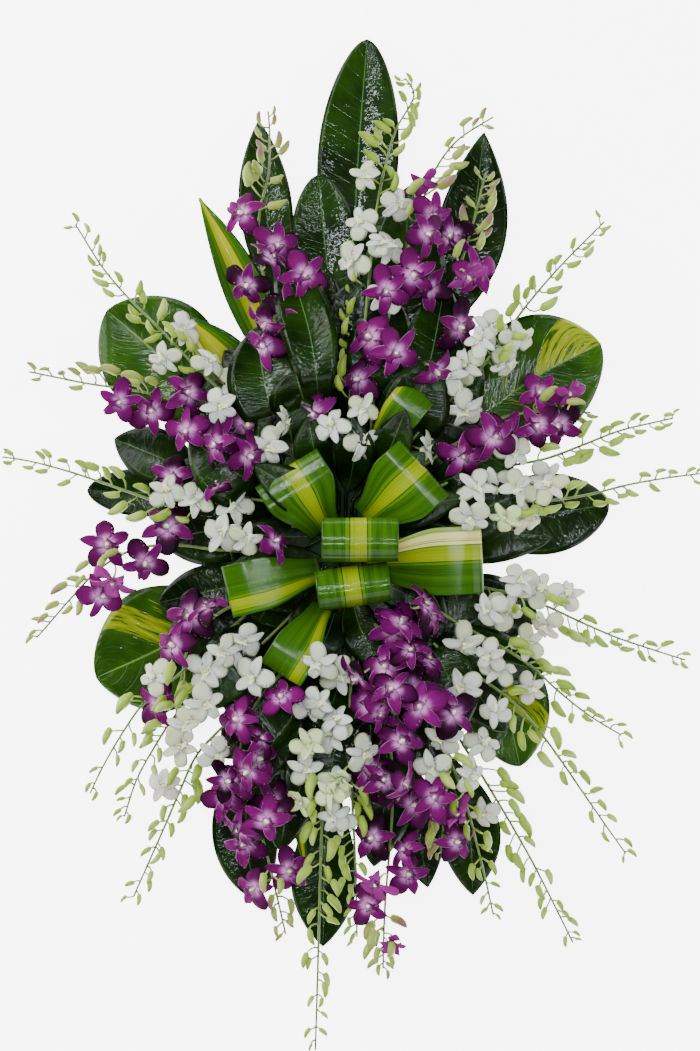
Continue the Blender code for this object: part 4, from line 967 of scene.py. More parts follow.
def filler_leaves(heights, chance):
    """Dark leaves low between the others, all round the tray: their tips lie near an ellipse."""
    made = []
    for i in range(BACKING_LEAVES):
        angle = round_the_tray(i * BACKING_STEP, BACKING_LEAVES, chance)
        reach = chance.uniform(0.45, 0.7) if i % 2 else chance.uniform(0.76, 1.0)
        tip = np.array([BACKING_REACH[0] * math.cos(angle), BACKING_REACH[1] * math.sin(angle)]) * reach
        if abs(tip[0]) / FOAM_WIDTH > abs(tip[1]) / FOAM_LENGTH / 1.3:
            root = np.array([math.copysign(FOAM_WIDTH / 2, tip[0]), np.clip(0.4 * tip[1], -105, 105)])
        else:
            root = np.array([np.clip(0.35 * tip[0], -50, 50), math.copysign(FOAM_LENGTH / 2, tip[1])])
        middle = (root + tip) / 2 + np.array([-tip[1], tip[0]]) * chance.uniform(-0.08, 0.08)
        width = chance.uniform(2.9, 4.1)
        made.append(laid_filler(heights, f"backing_{i}", chance.uniform(20, 34), (root, middle, tip), width,
                                chance.uniform(0.5, 0.62)))
    return made


def behind_leaves(heights):
    """A few larger leaves that fill the ground between the long ones."""
    made = []
    for i, (route, width) in enumerate(BEHIND_LEAVES):
        leaf = Leaf(f"behind_{i}", 24, route, width, 0.58, "filler")
        leaf.drape_on(heights)
        made.append(leaf)
    return made


def collar_leaves(heights, chance):
    """Short dark leaves that lie over the foam's top and past its edges, under the flowers."""
    made = []
    for i in range(COLLAR_LEAVES):
        angle = round_the_tray(i * COLLAR_STEP, COLLAR_LEAVES, chance)
        way = np.array([math.cos(angle), math.sin(angle)])
        root = np.array([24.0, 78.0]) * way * chance.uniform(0.3, 0.9)
        tip = root + way * chance.uniform(80, 120)
        middle = (root + tip) / 2 + np.array([-way[1], way[0]]) * chance.uniform(-8, 8)
        made.append(laid_filler(heights, f"collar_{i}", FOAM_TOP + 2.0, (root, middle, tip),
                                chance.uniform(1.9, 2.5), 0.5))
    return made


def make_fillers(leaves, name, finish):
    """Several filling leaves as one piece, which stands for no solid."""
    bag = Bag()
    for leaf in leaves:
        leaf_skin(leaf, bag, FILLER_ROWS, FILLER_COLUMNS)
    bag.piece(name, [finish])


def loop_skin(loop, bag, shift, cream):
    """A rolled leaf: a flat strip with rounded edges, carried round the loop's pinched ellipse. The
    guide runs once round the loop and from -1 to 1 across it, moved sideways by the stripe's shift."""
    angles = 2 * math.pi * np.arange(LOOP_ROWS) / LOOP_ROWS
    across, side = flat_ring(LOOP_COLUMNS)
    along = np.cos(angles)[:, None]
    pinch = loop.pinch(along)
    inset = LOOP_THICKNESS / 2 - LOOP_EDGE * side[None]
    crown = 0.5 * (1 - across[None] ** 2) - 0.2
    u = (loop.length / 2 - inset + crown) * along
    w = (loop.tall / 2 * pinch - inset + crown) * np.sin(angles)[:, None] + loop.tall / 2 * pinch
    tilt = loop.tilt
    u, w = (u * math.cos(tilt) - w * math.sin(tilt),
            w * math.cos(tilt) + (u + loop.length / 2) * math.sin(tilt))
    v = across[None] * loop.width / 2 * loop.narrowing(along)
    xy = loop.middle + loop.way * u[..., None] + loop.side * (v + 0 * u)[..., None]
    rings = np.concatenate([xy, (w + loop.lift)[..., None]], -1)
    turns = np.minimum(angles, 2 * math.pi - angles)[:, None] / math.pi
    guide = guide_of(rings, turns, across + shift, side, cream)
    i, j = np.meshgrid(np.arange(LOOP_ROWS), np.arange(2 * LOOP_COLUMNS), indexing="ij")
    i2, j2 = (i + 1) % LOOP_ROWS, (j + 1) % (2 * LOOP_COLUMNS)
    ring = 2 * LOOP_COLUMNS
    faces = np.stack([i * ring + j, i * ring + j2, i2 * ring + j2, i2 * ring + j], -1).reshape(-1, 4)
    bag.add(rings.reshape(1, -1, 3), guide.reshape(1, -1, 4), [faces])


def tube_skin(bag, paths, side_ways, radii, sides, along, tone, finish=0):
    """Round tubes: each ring lies round a point of the path, square to it, its first point towards
    the given side. Paths are copies by rows by three and radii copies by rows."""
    ahead = unit(np.gradient(paths, axis=1))
    first = unit(side_ways - ahead * (side_ways * ahead).sum(-1, keepdims=True))
    second = np.cross(ahead, first)
    angles = 2 * math.pi * np.arange(sides) / sides
    spokes = (first[:, :, None] * np.cos(angles)[:, None] + second[:, :, None] * np.sin(angles)[:, None])
    rings = paths[:, :, None] + radii[:, :, None, None] * spokes
    guide = guide_of(rings, along[:, :, None], np.cos(angles), 0.0, tone[:, None, None])
    bag.add(closed_points(rings), closed_points(guide), skin_faces(paths.shape[1], sides), finish)


def make_loop(loop, finish, shift, cream):
    """A rolled leaf and its stalk."""
    bag = Bag()
    loop_skin(loop, bag, shift, cream)
    heights = np.linspace(FOAM_TOP - STEM_DEPTH, loop.foot_height() - 1.5, 6)
    path = np.column_stack([np.tile(loop.foot, (6, 1)), heights])[None]
    side = np.tile(np.append(loop.side, 0), (1, 6, 1))
    tube_skin(bag, path, side, np.full((1, 6), STEM_RADIUS), 8, np.zeros((1, 6)), np.zeros(1))
    bag.piece(loop.name + "_strip", [finish], loop.name)


# Orchid blooms
TEPAL_ROWS = 8
TEPAL_COLUMNS = 4
# Angle from the bloom's top (degrees), length, half width, where it is widest, bluntness of its tip,
# start and end slope of its middle line (degrees), cup across, kind: 0 for a sepal, 1 for a petal
TEPALS = [
    (0, 1.02, 0.225, 0.44, 0.84, 28, -24, 0.26, 0),
    (70, 1.04, 0.39, 0.54, 0.58, 22, -30, -0.20, 1),
    (-70, 1.04, 0.39, 0.54, 0.58, 22, -30, -0.20, 1),
    (143, 1.0, 0.25, 0.42, 0.84, 20, -30, 0.22, 0),
    (-143, 1.0, 0.25, 0.42, 0.84, 20, -30, 0.22, 0),
]
LIP_ROWS = 8
LIP_COLUMNS = 4
TEPAL_THICKNESS = 0.014
TEPAL_CREASE = 0.22
TEPAL_WAVE = 0.06
# How much wider and blunter the sepals and petals of each colour are
FULLNESS = {"purple": 0.0, "white": 1.0}


def middle_line(length, start, end, rows):
    """A line of the given length whose slope turns evenly from start to end, as reach and height."""
    u = 0.02 + 0.965 * (0.55 * np.linspace(0, 1, rows) + 0.45 * np.sin(np.linspace(0, math.pi / 2, rows)))
    slope = np.radians(start + (end - start) * u)
    step = length * np.diff(np.concatenate([[0], u]))
    return u, slope, np.cumsum(step * np.cos(slope)), np.cumsum(step * np.sin(slope))


def blade_of(line, wide, across, side, bend, out, left):
    """Points round a blade: its cross section is square to the middle line, bent by the given rise."""
    u, slope, reach, height = line
    up = np.array([0, 0, 1.0])
    normal = -np.sin(slope)[:, None] * out + np.cos(slope)[:, None] * up
    spine = reach[:, None] * out + height[:, None] * up
    rise = bend + TEPAL_THICKNESS * side
    return spine[:, None] + (wide[:, None] * across)[..., None] * left + rise[..., None] * normal[:, None]


def tepal(angle, length, half, widest, blunt, start, end, cup, kind, wave, phase):
    """One sepal or petal in a bloom of radius 1. Its half width is u to one power times (1 - u) to
    another, and its cross section a parabola with a crease in the middle and waves at the edge."""
    line = middle_line(length, start, end, TEPAL_ROWS)
    u = line[0]
    power = blunt * widest / (1 - widest)
    wide = half * (u / widest) ** power * ((1 - u) / (1 - widest)) ** blunt
    across, side = blade_ring(TEPAL_COLUMNS)
    bend = wide[:, None] * (cup * across ** 2 + TEPAL_CREASE * (np.sqrt(across ** 2 + 0.01) - 0.1))
    bend = bend + wave * across ** 2 * np.sin(6 * u[:, None] + phase + 2 * across)
    a = math.radians(angle)
    out, left = np.array([math.sin(a), math.cos(a), 0]), np.array([-math.cos(a), math.sin(a), 0])
    rings = blade_of(line, wide, across, side, bend, out, left)
    return template_of(rings, u[:, None], across, side, kind)


def lip(openness, phase):
    """The lip: a blade that starts forward out of the bloom and turns down. Its half width is the sum
    of two bell curves, for the side lobes that stand up round the column and for the front lobe."""
    line = middle_line(0.60, 74, -34 - 16 * openness, LIP_ROWS)
    u = line[0]
    wide = 0.04 + 0.20 * np.exp(-((u - 0.34) / 0.17) ** 2) + 0.17 * np.exp(-((u - 0.78) / 0.13) ** 2)
    wide[-1] = 0.04
    across, side = blade_ring(LIP_COLUMNS)
    cup = 1.5 * np.exp(-((u - 0.3) / 0.22) ** 2) - 0.3 * u
    bend = cup[:, None] * wide[:, None] * across ** 2
    bend = bend + 0.02 * u[:, None] * across ** 2 * np.sin(9 * across + phase)
    rings = blade_of(line, wide, across, side, bend, np.array([0, -1.0, 0]), np.array([1.0, 0, 0]))
    rings[..., 2] += 0.02
    return template_of(rings, u[:, None], across, side, 2)


def bloom_template(chance, openness, fullness):
    """Points and guides of one bloom of radius 1 for its petals, lip and column."""
    closing = 62 * (1 - openness)
    made = [tepal(angle + chance.uniform(-8, 8), length * chance.uniform(0.93, 1.05),
                  half * chance.uniform(0.90, 1.06) * (0.85 + 0.15 * openness) * (1 + 0.14 * fullness),
                  widest, blunt * (1 - 0.24 * fullness), start + closing + chance.uniform(-12, 12),
                  end + 0.7 * closing + chance.uniform(-26, 20), cup, kind, TEPAL_WAVE,
                  chance.uniform(0, 6.3))
            for angle, length, half, widest, blunt, start, end, cup, kind in TEPALS]
    tepals = tuple(np.vstack(values) for values in zip(*made))
    return tepals, lip(openness, chance.uniform(0, 6.3)), column_template()


def column_template():
    """The column: a short post with a cap, which leans over the lip."""
    t = np.linspace(0, 1, 4)
    radius = np.array([0.06, 0.075, 0.09, 0.04])
    path = np.stack([0 * t, -0.06 * t ** 2, 0.03 + 0.25 * t], 1)
    angles = 2 * math.pi * np.arange(6) / 6
    spokes = np.stack([np.cos(angles), np.sin(angles), 0 * angles], 1)
    rings = path[:, None] + radius[:, None, None] * spokes
    return template_of(rings, t[:, None], 0 * angles, 1.0, 3)


def add_blooms(bag, flowers, templates):
    """Each bloom is its template, scaled to its radius and turned to its frame; finish 0 is the
    sepals and petals, 1 the lip and 2 the column."""
    groups = {}
    for flower in flowers:
        groups.setdefault(flower["template"], []).append(flower)
    tepal_size = TEPAL_ROWS * 2 * TEPAL_COLUMNS + 2
    faces = [repeated_faces(skin_faces(TEPAL_ROWS, 2 * TEPAL_COLUMNS), len(TEPALS), tepal_size),
             skin_faces(LIP_ROWS, 2 * LIP_COLUMNS), skin_faces(4, 6)]
    for key, group in groups.items():
        centres = np.array([flower["centre"] for flower in group])
        frames = np.array([flower["frame"] for flower in group])
        radii = np.array([flower["radius"] for flower in group])
        tones = np.array([flower["tone"] for flower in group])
        for finish, (points, guides) in enumerate(templates[key]):
            placed = centres[:, None] + radii[:, None, None] * np.einsum("pi,kij->kpj", points, frames)
            guide = np.broadcast_to(guides, (len(group), *guides.shape)).copy()
            guide[..., 3] += 0.9 * tones[:, None]
            bag.add(placed, guide, faces[finish], finish)


def add_pedicels(bag, flowers):
    """A curved stalk to the back of each bloom: a quadratic curve from the stem that ends along the
    bloom's facing direction."""
    roots = np.array([flower["root"] for flower in flowers])
    ends = np.array([flower["centre"] - 0.5 * flower["frame"][2] for flower in flowers])
    backs = np.array([flower["frame"][2] for flower in flowers])
    reach = np.linalg.norm(ends - roots, axis=1)[:, None]
    bends = ends - backs * reach * 0.45
    t = np.linspace(0, 1, 7)[None, :, None]
    paths = arc(roots[:, None], bends[:, None], ends[:, None], t)
    side = np.cross(bends - roots, ends - bends) + [0.01, 0.02, 0.003]
    radii = (1.0 + 0.7 * t[..., 0] ** 3) * np.ones((len(flowers), 1))
    along = 0.35 + 0.65 * t[..., 0] + 0 * radii
    tones = np.array([flower["tone"] for flower in flowers])
    tube_skin(bag, paths, np.repeat(side[:, None], 7, 1), radii, 5, along, tones)


# Share of the way from a bud's chin to its tip, and its radius there as a share of the greatest
BUD_PROFILE = np.array([(0.0, 0.30), (0.05, 0.66), (0.17, 0.93), (0.36, 1.0), (0.58, 0.93), (0.77, 0.74),
                        (0.92, 0.46), (1.0, 0.14)])
BUD_STALK_RADIUS = 1.05


def add_buds(bag, buds):
    """A thin stalk arches over to the side of its bud. The bud's axis runs from a blunt chin to a
    rounded tip and bends a little, and its radius follows the table of the bud's profile."""
    roots, feet, ways, bends, length, width, tones, arches = (
        np.array([bud[key] for bud in buds])
        for key in ("root", "centre", "axis", "bend", "length", "width", "tone", "arch"))
    side = np.cross(ways, bends) + [0.01, 0.02, 0.003]
    t = np.linspace(0, 1, 5)[None, :, None]
    reach = np.linalg.norm(feet - roots, axis=1)[:, None]
    knees = (roots + feet) / 2 + (bends * arches[:, None] - ways * 0.5) * reach * 0.55
    knees = knees + [0, 0, 1] * reach * 0.2
    stalk = arc(roots[:, None], knees[:, None], feet[:, None], t)
    along = 0.35 + 0.4 * t[..., 0] + 0 * stalk[..., 0]
    tube_skin(bag, stalk, np.repeat(side[:, None], 5, 1), BUD_STALK_RADIUS + 0 * along, 4, along, tones)
    u = BUD_PROFILE[:, 0][None, :, None]
    chin = 0.16 * np.exp(-(u / 0.13) ** 2)
    body = ways[:, None] * (u - 0.2) + bends[:, None] * (0.6 * (u - 0.3) ** 2 - chin)
    body = feet[:, None] + length[:, None, None] * body
    radii = width[:, None] / 2 * BUD_PROFILE[:, 1][None]
    tube_skin(bag, body, np.repeat(side[:, None], len(BUD_PROFILE), 1), radii, 6,
              1 + u[..., 0] + 0 * radii, tones)


def stem_path(spray):
    """Points of the stem from inside the foam to its tip and the direction to its left at each."""
    stations = np.linspace(spray.joints[0], spray.total, STEM_RINGS)
    places = np.array([spray.smooth_at(s) for s in stations])
    left = unit(values_at(stations, spray.stations, spray.left))
    first = places[0]
    upright = np.array([*spray.root, first[2] - 2.0])
    low = np.array([*spray.root, FOAM_TOP - STEM_DEPTH])
    t = np.linspace(0, 1, 9)[:, None]
    bend = arc(upright, np.array([*spray.root, first[2] + 3]), first, t)
    start = np.vstack([low, low * 0.5 + upright * 0.5, bend[:-1] - [0, 0, 6] * (1 - t[:-1]) ** 2])
    path = np.vstack([start, places])
    sides = np.vstack([np.tile(left[0], (len(start), 1)), left])
    return path, np.column_stack([sides, np.zeros(len(sides))]), stations


def add_stem(bag, spray):
    """The stem: a round tube that thins to its tip, a little thicker at each joint."""
    path, sides, stations = stem_path(spray)
    buried = len(path) - len(stations)
    share = np.concatenate([np.zeros(buried), stations / spray.total])
    thick = STEM_RADIUS * 0.95
    radii = thick + (STEM_TIP_RADIUS - thick) * share
    radii = radii * (1 + 0.16 * np.exp(-((share * spray.total / JOINT_STEP % 1 - 0.5) / 0.07) ** 2))
    tube_skin(bag, path[None], sides[None], radii[None], STEM_ROUND_SIDES, 0.3 * share[None],
              np.array([0.5]))


class Paint:
    """A node material that is built from sockets and plain numbers."""

    def __init__(self, name, roughness, coat=0.0, coat_roughness=0.1, subsurface=0.0, specular=0.4):
        self.material = bpy.data.materials.new(name)
        self.material.use_nodes = True
        self.nodes = self.material.node_tree.nodes
        self.links = self.material.node_tree.links
        self.shader = self.nodes["Principled BSDF"]
        self.shader.inputs["Roughness"].default_value = roughness
        self.shader.inputs["Coat Weight"].default_value = coat
        self.shader.inputs["Coat Roughness"].default_value = coat_roughness
        self.shader.inputs["Subsurface Weight"].default_value = subsurface
        self.shader.inputs["Subsurface Scale"].default_value = 0.004
        self.shader.inputs["Specular IOR Level"].default_value = specular

    def feed(self, socket, value):
        if isinstance(value, bpy.types.NodeSocket):
            self.links.new(value, socket)
        elif isinstance(value, tuple) and len(value) == 3 and socket.type == "RGBA":
            socket.default_value = (*value, 1.0)
        else:
            socket.default_value = value

    def math(self, operation, *values):
        node = self.nodes.new("ShaderNodeMath")
        node.operation = operation
        for socket, value in zip(node.inputs, values):
            self.feed(socket, value)
        return node.outputs[0]

    def product(self, first, second):
        return self.math("MULTIPLY", first, second)

    def sum(self, first, second):
        return self.math("ADD", first, second)

    def less(self, first, second):
        return self.math("SUBTRACT", first, second)

    def absolute(self, value):
        return self.math("ABSOLUTE", value)

    def guides(self):
        """Along, across, side and tone of the surface, from its own attributes."""
        attribute = self.nodes.new("ShaderNodeAttribute")
        attribute.attribute_name = "guide"
        split = self.nodes.new("ShaderNodeSeparateXYZ")
        self.links.new(attribute.outputs["Vector"], split.inputs[0])
        tone = self.nodes.new("ShaderNodeAttribute")
        tone.attribute_name = "tone"
        return (*split.outputs, tone.outputs["Fac"])

    def place(self, x, y, z=0.0):
        node = self.nodes.new("ShaderNodeCombineXYZ")
        for socket, value in zip(node.inputs, (x, y, z)):
            self.feed(socket, value)
        return node.outputs[0]

    def here(self):
        return self.nodes.new("ShaderNodeTexCoord").outputs["Object"]

    def noise(self, where, scale, detail=2.0):
        node = self.nodes.new("ShaderNodeTexNoise")
        self.links.new(where, node.inputs["Vector"])
        node.inputs["Scale"].default_value = scale
        node.inputs["Detail"].default_value = detail
        return node.outputs["Fac"]

    def fade(self, value, low, high):
        """0 below low and 1 above high, or the other way round where low is the greater."""
        node = self.nodes.new("ShaderNodeMapRange")
        node.interpolation_type = "SMOOTHSTEP"
        self.feed(node.inputs["Value"], value)
        flip = low > high
        node.inputs["From Min"].default_value = min(low, high)
        node.inputs["From Max"].default_value = max(low, high)
        node.inputs["To Min"].default_value = 1.0 if flip else 0.0
        node.inputs["To Max"].default_value = 0.0 if flip else 1.0
        return node.outputs["Result"]

    def mix(self, share, first, second):
        node = self.nodes.new("ShaderNodeMix")
        node.data_type = "RGBA"
        self.feed(node.inputs["Factor"], share)
        colours = [socket for socket in node.inputs if socket.type == "RGBA"]
        self.feed(colours[0], first)
        self.feed(colours[1], second)
        return next(socket for socket in node.outputs if socket.type == "RGBA")

    def lines(self, value, repeats, width):
        """1 on thin lines that repeat along the value, fading to 0 within the width."""
        turn = self.math("FRACT", self.product(value, repeats))
        off = self.absolute(self.less(turn, 0.5))
        return self.fade(off, 0.5 - width, 0.5)

    def bump(self, height, strength, distance):
        node = self.nodes.new("ShaderNodeBump")
        node.inputs["Strength"].default_value = strength
        node.inputs["Distance"].default_value = distance
        self.links.new(height, node.inputs["Height"])
        self.links.new(node.outputs["Normal"], self.shader.inputs["Normal"])
        self.links.new(node.outputs["Normal"], self.shader.inputs["Coat Normal"])

    def colour(self, value):
        self.feed(self.shader.inputs["Base Color"], value)
        return self.material


def side_veins(paint, along, across, kind):
    """The value whose whole numbers lie on the side veins, which lean towards the tip."""
    share = paint.absolute(across)
    return paint.less(paint.product(along, float(VEIN_PAIRS[kind])), paint.product(share, VEIN_SLANT[kind]))


def times(colour, factor):
    return tuple(factor * value for value in colour)


def blade_paint(paint, colour, along, across, side, veins, pale):
    """What every smooth leaf shares: the pale midrib and rim, faint side veins, a plain green underside
    and a skin that is quilted along the veins, so that its gloss breaks up into short streaks."""
    share = paint.absolute(across)
    vein_line = paint.lines(veins, 1.0, 0.05)
    colour = paint.mix(paint.product(vein_line, 0.12), colour, times(pale, 0.55))
    colour = paint.mix(paint.product(paint.fade(share, 0.026, 0.006), 0.7), colour, pale)
    colour = paint.mix(paint.product(paint.fade(share, 0.985, 1.0), 0.4), colour, pale)
    colour = paint.mix(paint.fade(side, 0.0, -0.15), colour, (0.022, 0.070, 0.016))
    ladder = paint.noise(paint.place(paint.product(veins, 2.6), paint.product(across, 2.4), along), 1.7, 2.5)
    broad = paint.noise(paint.place(paint.product(along, 7.0), paint.product(across, 2.5)), 1.6, 2.0)
    grain = paint.noise(paint.here(), 500.0, 2.0)
    relief = paint.sum(paint.product(ladder, 1.9), paint.product(broad, 0.3))
    relief = paint.sum(relief, paint.product(grain, 0.12))
    relief = paint.less(relief, paint.product(vein_line, 0.35))
    paint.bump(relief, 0.6, 0.0006)
    return paint.colour(colour)


def dark_leaf_paint(name, deep, fresh):
    """A glossy dark leaf, mottled, and some leaves fresher than others."""
    paint = Paint(name, 0.36, coat=0.20, coat_roughness=0.04, specular=0.03)
    along, across, side, tone = paint.guides()
    mottle = paint.sum(paint.noise(paint.here(), 22.0, 4.0), paint.product(tone, 0.12))
    colour = paint.mix(paint.fade(mottle, 0.40, 0.78), deep, fresh)
    veins = side_veins(paint, along, across, "dark")
    return blade_paint(paint, colour, along, across, side, veins, (0.055, 0.13, 0.035))


def marbled_paint(name, half, start, end, flecks):
    """A marbled leaf: on one half (1 left, -1 right) everything between two side veins is yellow with
    dark flecks that run along the veins; elsewhere only a few short yellow streaks."""
    paint = Paint(name, 0.36, coat=0.17, coat_roughness=0.04, specular=0.03)
    along, across, side, _ = paint.guides()
    veins = side_veins(paint, along, across, "pothos")
    share = paint.absolute(across)
    fine = paint.noise(paint.place(paint.product(veins, 3.2), paint.product(share, 1.1), side), 1.9, 4.0)
    rough = paint.sum(veins, paint.product(paint.less(fine, 0.5), 1.1))
    mottle = paint.noise(paint.here(), 22.0, 4.0)
    colour = paint.mix(paint.fade(mottle, 0.36, 0.66), (0.0075, 0.030, 0.001), (0.019, 0.060, 0.002))
    yellow = paint.mix(paint.fade(fine, 0.40, 0.62), (0.11, 0.16, 0.002), (0.21, 0.235, 0.005))
    yellow = paint.mix(paint.fade(fine, 0.40 + flecks, 0.34 + flecks), yellow, (0.014, 0.045, 0.002))
    inside = paint.product(paint.fade(rough, start - 0.08, start + 0.08),
                           paint.fade(rough, end + 0.08, end - 0.08))
    inside = paint.product(inside, paint.fade(paint.product(across, float(half)), 0.0, 0.02))
    streaks = paint.product(paint.fade(fine, 0.655, 0.68), 0.6)
    colour = paint.mix(streaks, colour, (0.19, 0.25, 0.02))
    colour = paint.mix(inside, colour, yellow)
    return blade_paint(paint, colour, along, across, side, veins, (0.12, 0.21, 0.05))


def line_at(paint, value, place, width):
    """1 on a thin line where the value equals the place."""
    return paint.fade(paint.absolute(paint.less(value, place)), width, width * 0.4)


def banded_paint(name, deep, green, lime, yellow, band, lines, painted_shade):
    """A leaf with straight veins from base to tip: green sides with long darker streaks, a yellow band
    of the given half width, lime beside it, thin dark lines at the given shares across, each with its
    strength, and painted shade: darker far along by the given share, towards a rolled leaf's foot. A
    leaf of a high tone has a cream band, with a pale green edge past it."""
    paint = Paint(name, 0.36, coat=0.20, coat_roughness=0.05, specular=0.03)
    along, across, side, tone = paint.guides()
    streak = paint.noise(paint.place(paint.product(across, 5.0), paint.product(along, 0.5), tone), 1.4, 3.0)
    fine = paint.noise(paint.place(paint.product(across, 34.0), paint.product(along, 0.9)), 1.4, 2.0)
    wander = paint.sum(across, paint.product(paint.less(streak, 0.5), 0.05))
    share = paint.absolute(wander)
    colour = paint.mix(paint.fade(streak, 0.36, 0.60), deep, green)
    colour = paint.mix(paint.product(paint.fade(share, 0.62, 1.05), 0.55), colour, deep)
    colour = paint.mix(paint.product(paint.fade(fine, 0.52, 0.72), 0.45), colour, times(lime, 0.7))
    beside = paint.fade(share, band * 1.85, band * 1.5)
    colour = paint.mix(paint.product(beside, 0.75), colour, lime)
    core = paint.mix(paint.fade(fine, 0.35, 0.65), times(yellow, 0.72), yellow)
    core = paint.mix(paint.product(paint.fade(wander, band * 0.1, band * 0.9), 0.3), core, lime)
    colour = paint.mix(paint.fade(share, band * 1.06, band * 0.98), colour, core)
    cream = paint.product(paint.fade(tone, 0.4, 0.6), paint.fade(wander, band * 1.1, band * 1.3))
    cream = paint.product(cream, paint.fade(wander, 0.68, 0.60))
    colour = paint.mix(cream, colour, (0.42, 0.385, 0.12))
    pale = paint.product(paint.fade(tone, 0.4, 0.6), paint.fade(wander, 0.64, 0.70))
    colour = paint.mix(paint.product(pale, 0.8), colour, (0.17, 0.23, 0.05))
    # Painted shade: darker far along, towards the foot of a rolled leaf
    colour = paint.mix(paint.product(paint.fade(along, 0.45, 1.0), painted_shade), colour, times(deep, 0.4))
    for place, strength in lines:
        ink = paint.product(line_at(paint, wander, place, 0.016), strength)
        colour = paint.mix(ink, colour, (0.004, 0.022, 0.003))
    colour = paint.mix(paint.product(paint.fade(side, 0.0, -0.15), 0.6), colour, (0.030, 0.085, 0.012))
    cross = paint.noise(paint.place(paint.product(along, 60.0), paint.product(across, 0.8)), 1.0, 2.0)
    relief = paint.sum(paint.product(fine, 0.5), paint.noise(paint.here(), 60.0, 2.0))
    relief = paint.sum(relief, paint.product(cross, 0.5))
    paint.bump(relief, 0.35, 0.0004)
    return paint.colour(colour)


def petal_paint(name, base, body, deep, back, edge, young, base_end, subsurface):
    """A petal or sepal: the base colour at the bloom's centre runs out along the veins, as far as its
    end, into the body colour. Petals of a high tone are deeper, sepals stay brighter and have a pale
    edge, backs are pale, and blooms of the highest tone are still young. The guide's last value is the
    kind, 0 for a sepal, 1 for a petal and 2 for the lip, plus the bloom's tone below 1."""
    paint = Paint(name, 0.6, subsurface=subsurface, specular=0.04)
    along, across, side, kind = paint.guides()
    tone = paint.math("FRACT", kind)
    share = paint.absolute(across)
    fan = paint.noise(paint.place(paint.product(across, 6.0), paint.product(along, 0.7), kind), 1.6, 3.0)
    reach = paint.sum(along, paint.product(paint.less(fan, 0.5), 0.16))
    reach = paint.sum(reach, paint.product(share, 0.10))
    sepal = paint.fade(kind, 1.0, 0.95)
    far = paint.sum(paint.product(tone, 1.4), paint.product(paint.fade(reach, 0.5, 1.0), 0.4))
    far = paint.product(far, paint.less(1.0, paint.product(sepal, 0.6)))
    colour = paint.mix(paint.math("MINIMUM", far, 1.0), body, deep)
    colour = paint.mix(paint.product(paint.fade(fan, 0.56, 0.75), 0.3), colour, deep)
    heart = paint.fade(reach, base_end, base_end * 0.2)
    colour = paint.mix(paint.product(heart, heart), colour, base)
    rim = paint.product(paint.fade(share, 0.84, 1.0), paint.product(sepal, 0.65))
    colour = paint.mix(rim, colour, edge)
    behind = paint.product(paint.fade(side, -0.3, -0.7), paint.less(1.0, paint.product(tone, 0.5)))
    colour = paint.mix(behind, colour, back)
    colour = paint.mix(paint.product(paint.fade(tone, 0.76, 0.86), 0.75), colour, young)
    paint.bump(fan, 0.4, 0.0010)
    return paint.colour(colour)


def plain_paint(name, first, second, scale, roughness, subsurface=0.0, depth=0.0006, glow=0.0):
    """Two colours in soft clouds with a fine grain."""
    paint = Paint(name, roughness, subsurface=subsurface)
    paint.shader.inputs["Emission Color"].default_value = (1.0, 1.0, 1.0, 1.0)
    paint.shader.inputs["Emission Strength"].default_value = glow
    cloud = paint.noise(paint.here(), scale, 3.0)
    paint.bump(paint.noise(paint.here(), scale * 6, 2.0), 0.4, depth)
    return paint.colour(paint.mix(paint.fade(cloud, 0.35, 0.65), first, second))


def stem_paint(name, stem, pedicel, bud, tip, blush):
    """Stems and buds: green stems, paler pedicels, buds with a greener tip, some blushed. The guide
    runs along from 0 to 0.3 on a stem, 0.35 to 1 on a stalk and 1 to 2 on a bud."""
    paint = Paint(name, 0.45, subsurface=0.06, specular=0.3)
    along, _, _, tone = paint.guides()
    cloud = paint.noise(paint.here(), 120.0, 2.0)
    swollen = paint.fade(along, 1.02, 1.2)
    colour = paint.mix(paint.fade(along, 0.33, 0.75), stem, pedicel)
    colour = paint.mix(swollen, colour, bud)
    colour = paint.mix(paint.fade(along, 1.55, 2.0), colour, tip)
    rose = paint.product(paint.fade(tone, 0.35, 0.85), paint.product(paint.fade(along, 1.1, 1.7), 0.85))
    colour = paint.mix(rose, colour, blush)
    colour = paint.mix(paint.product(paint.fade(cloud, 0.5, 0.7), 0.3), colour, times(bud, 0.6))
    paint.bump(cloud, 0.2, 0.0005)
    return paint.colour(colour)


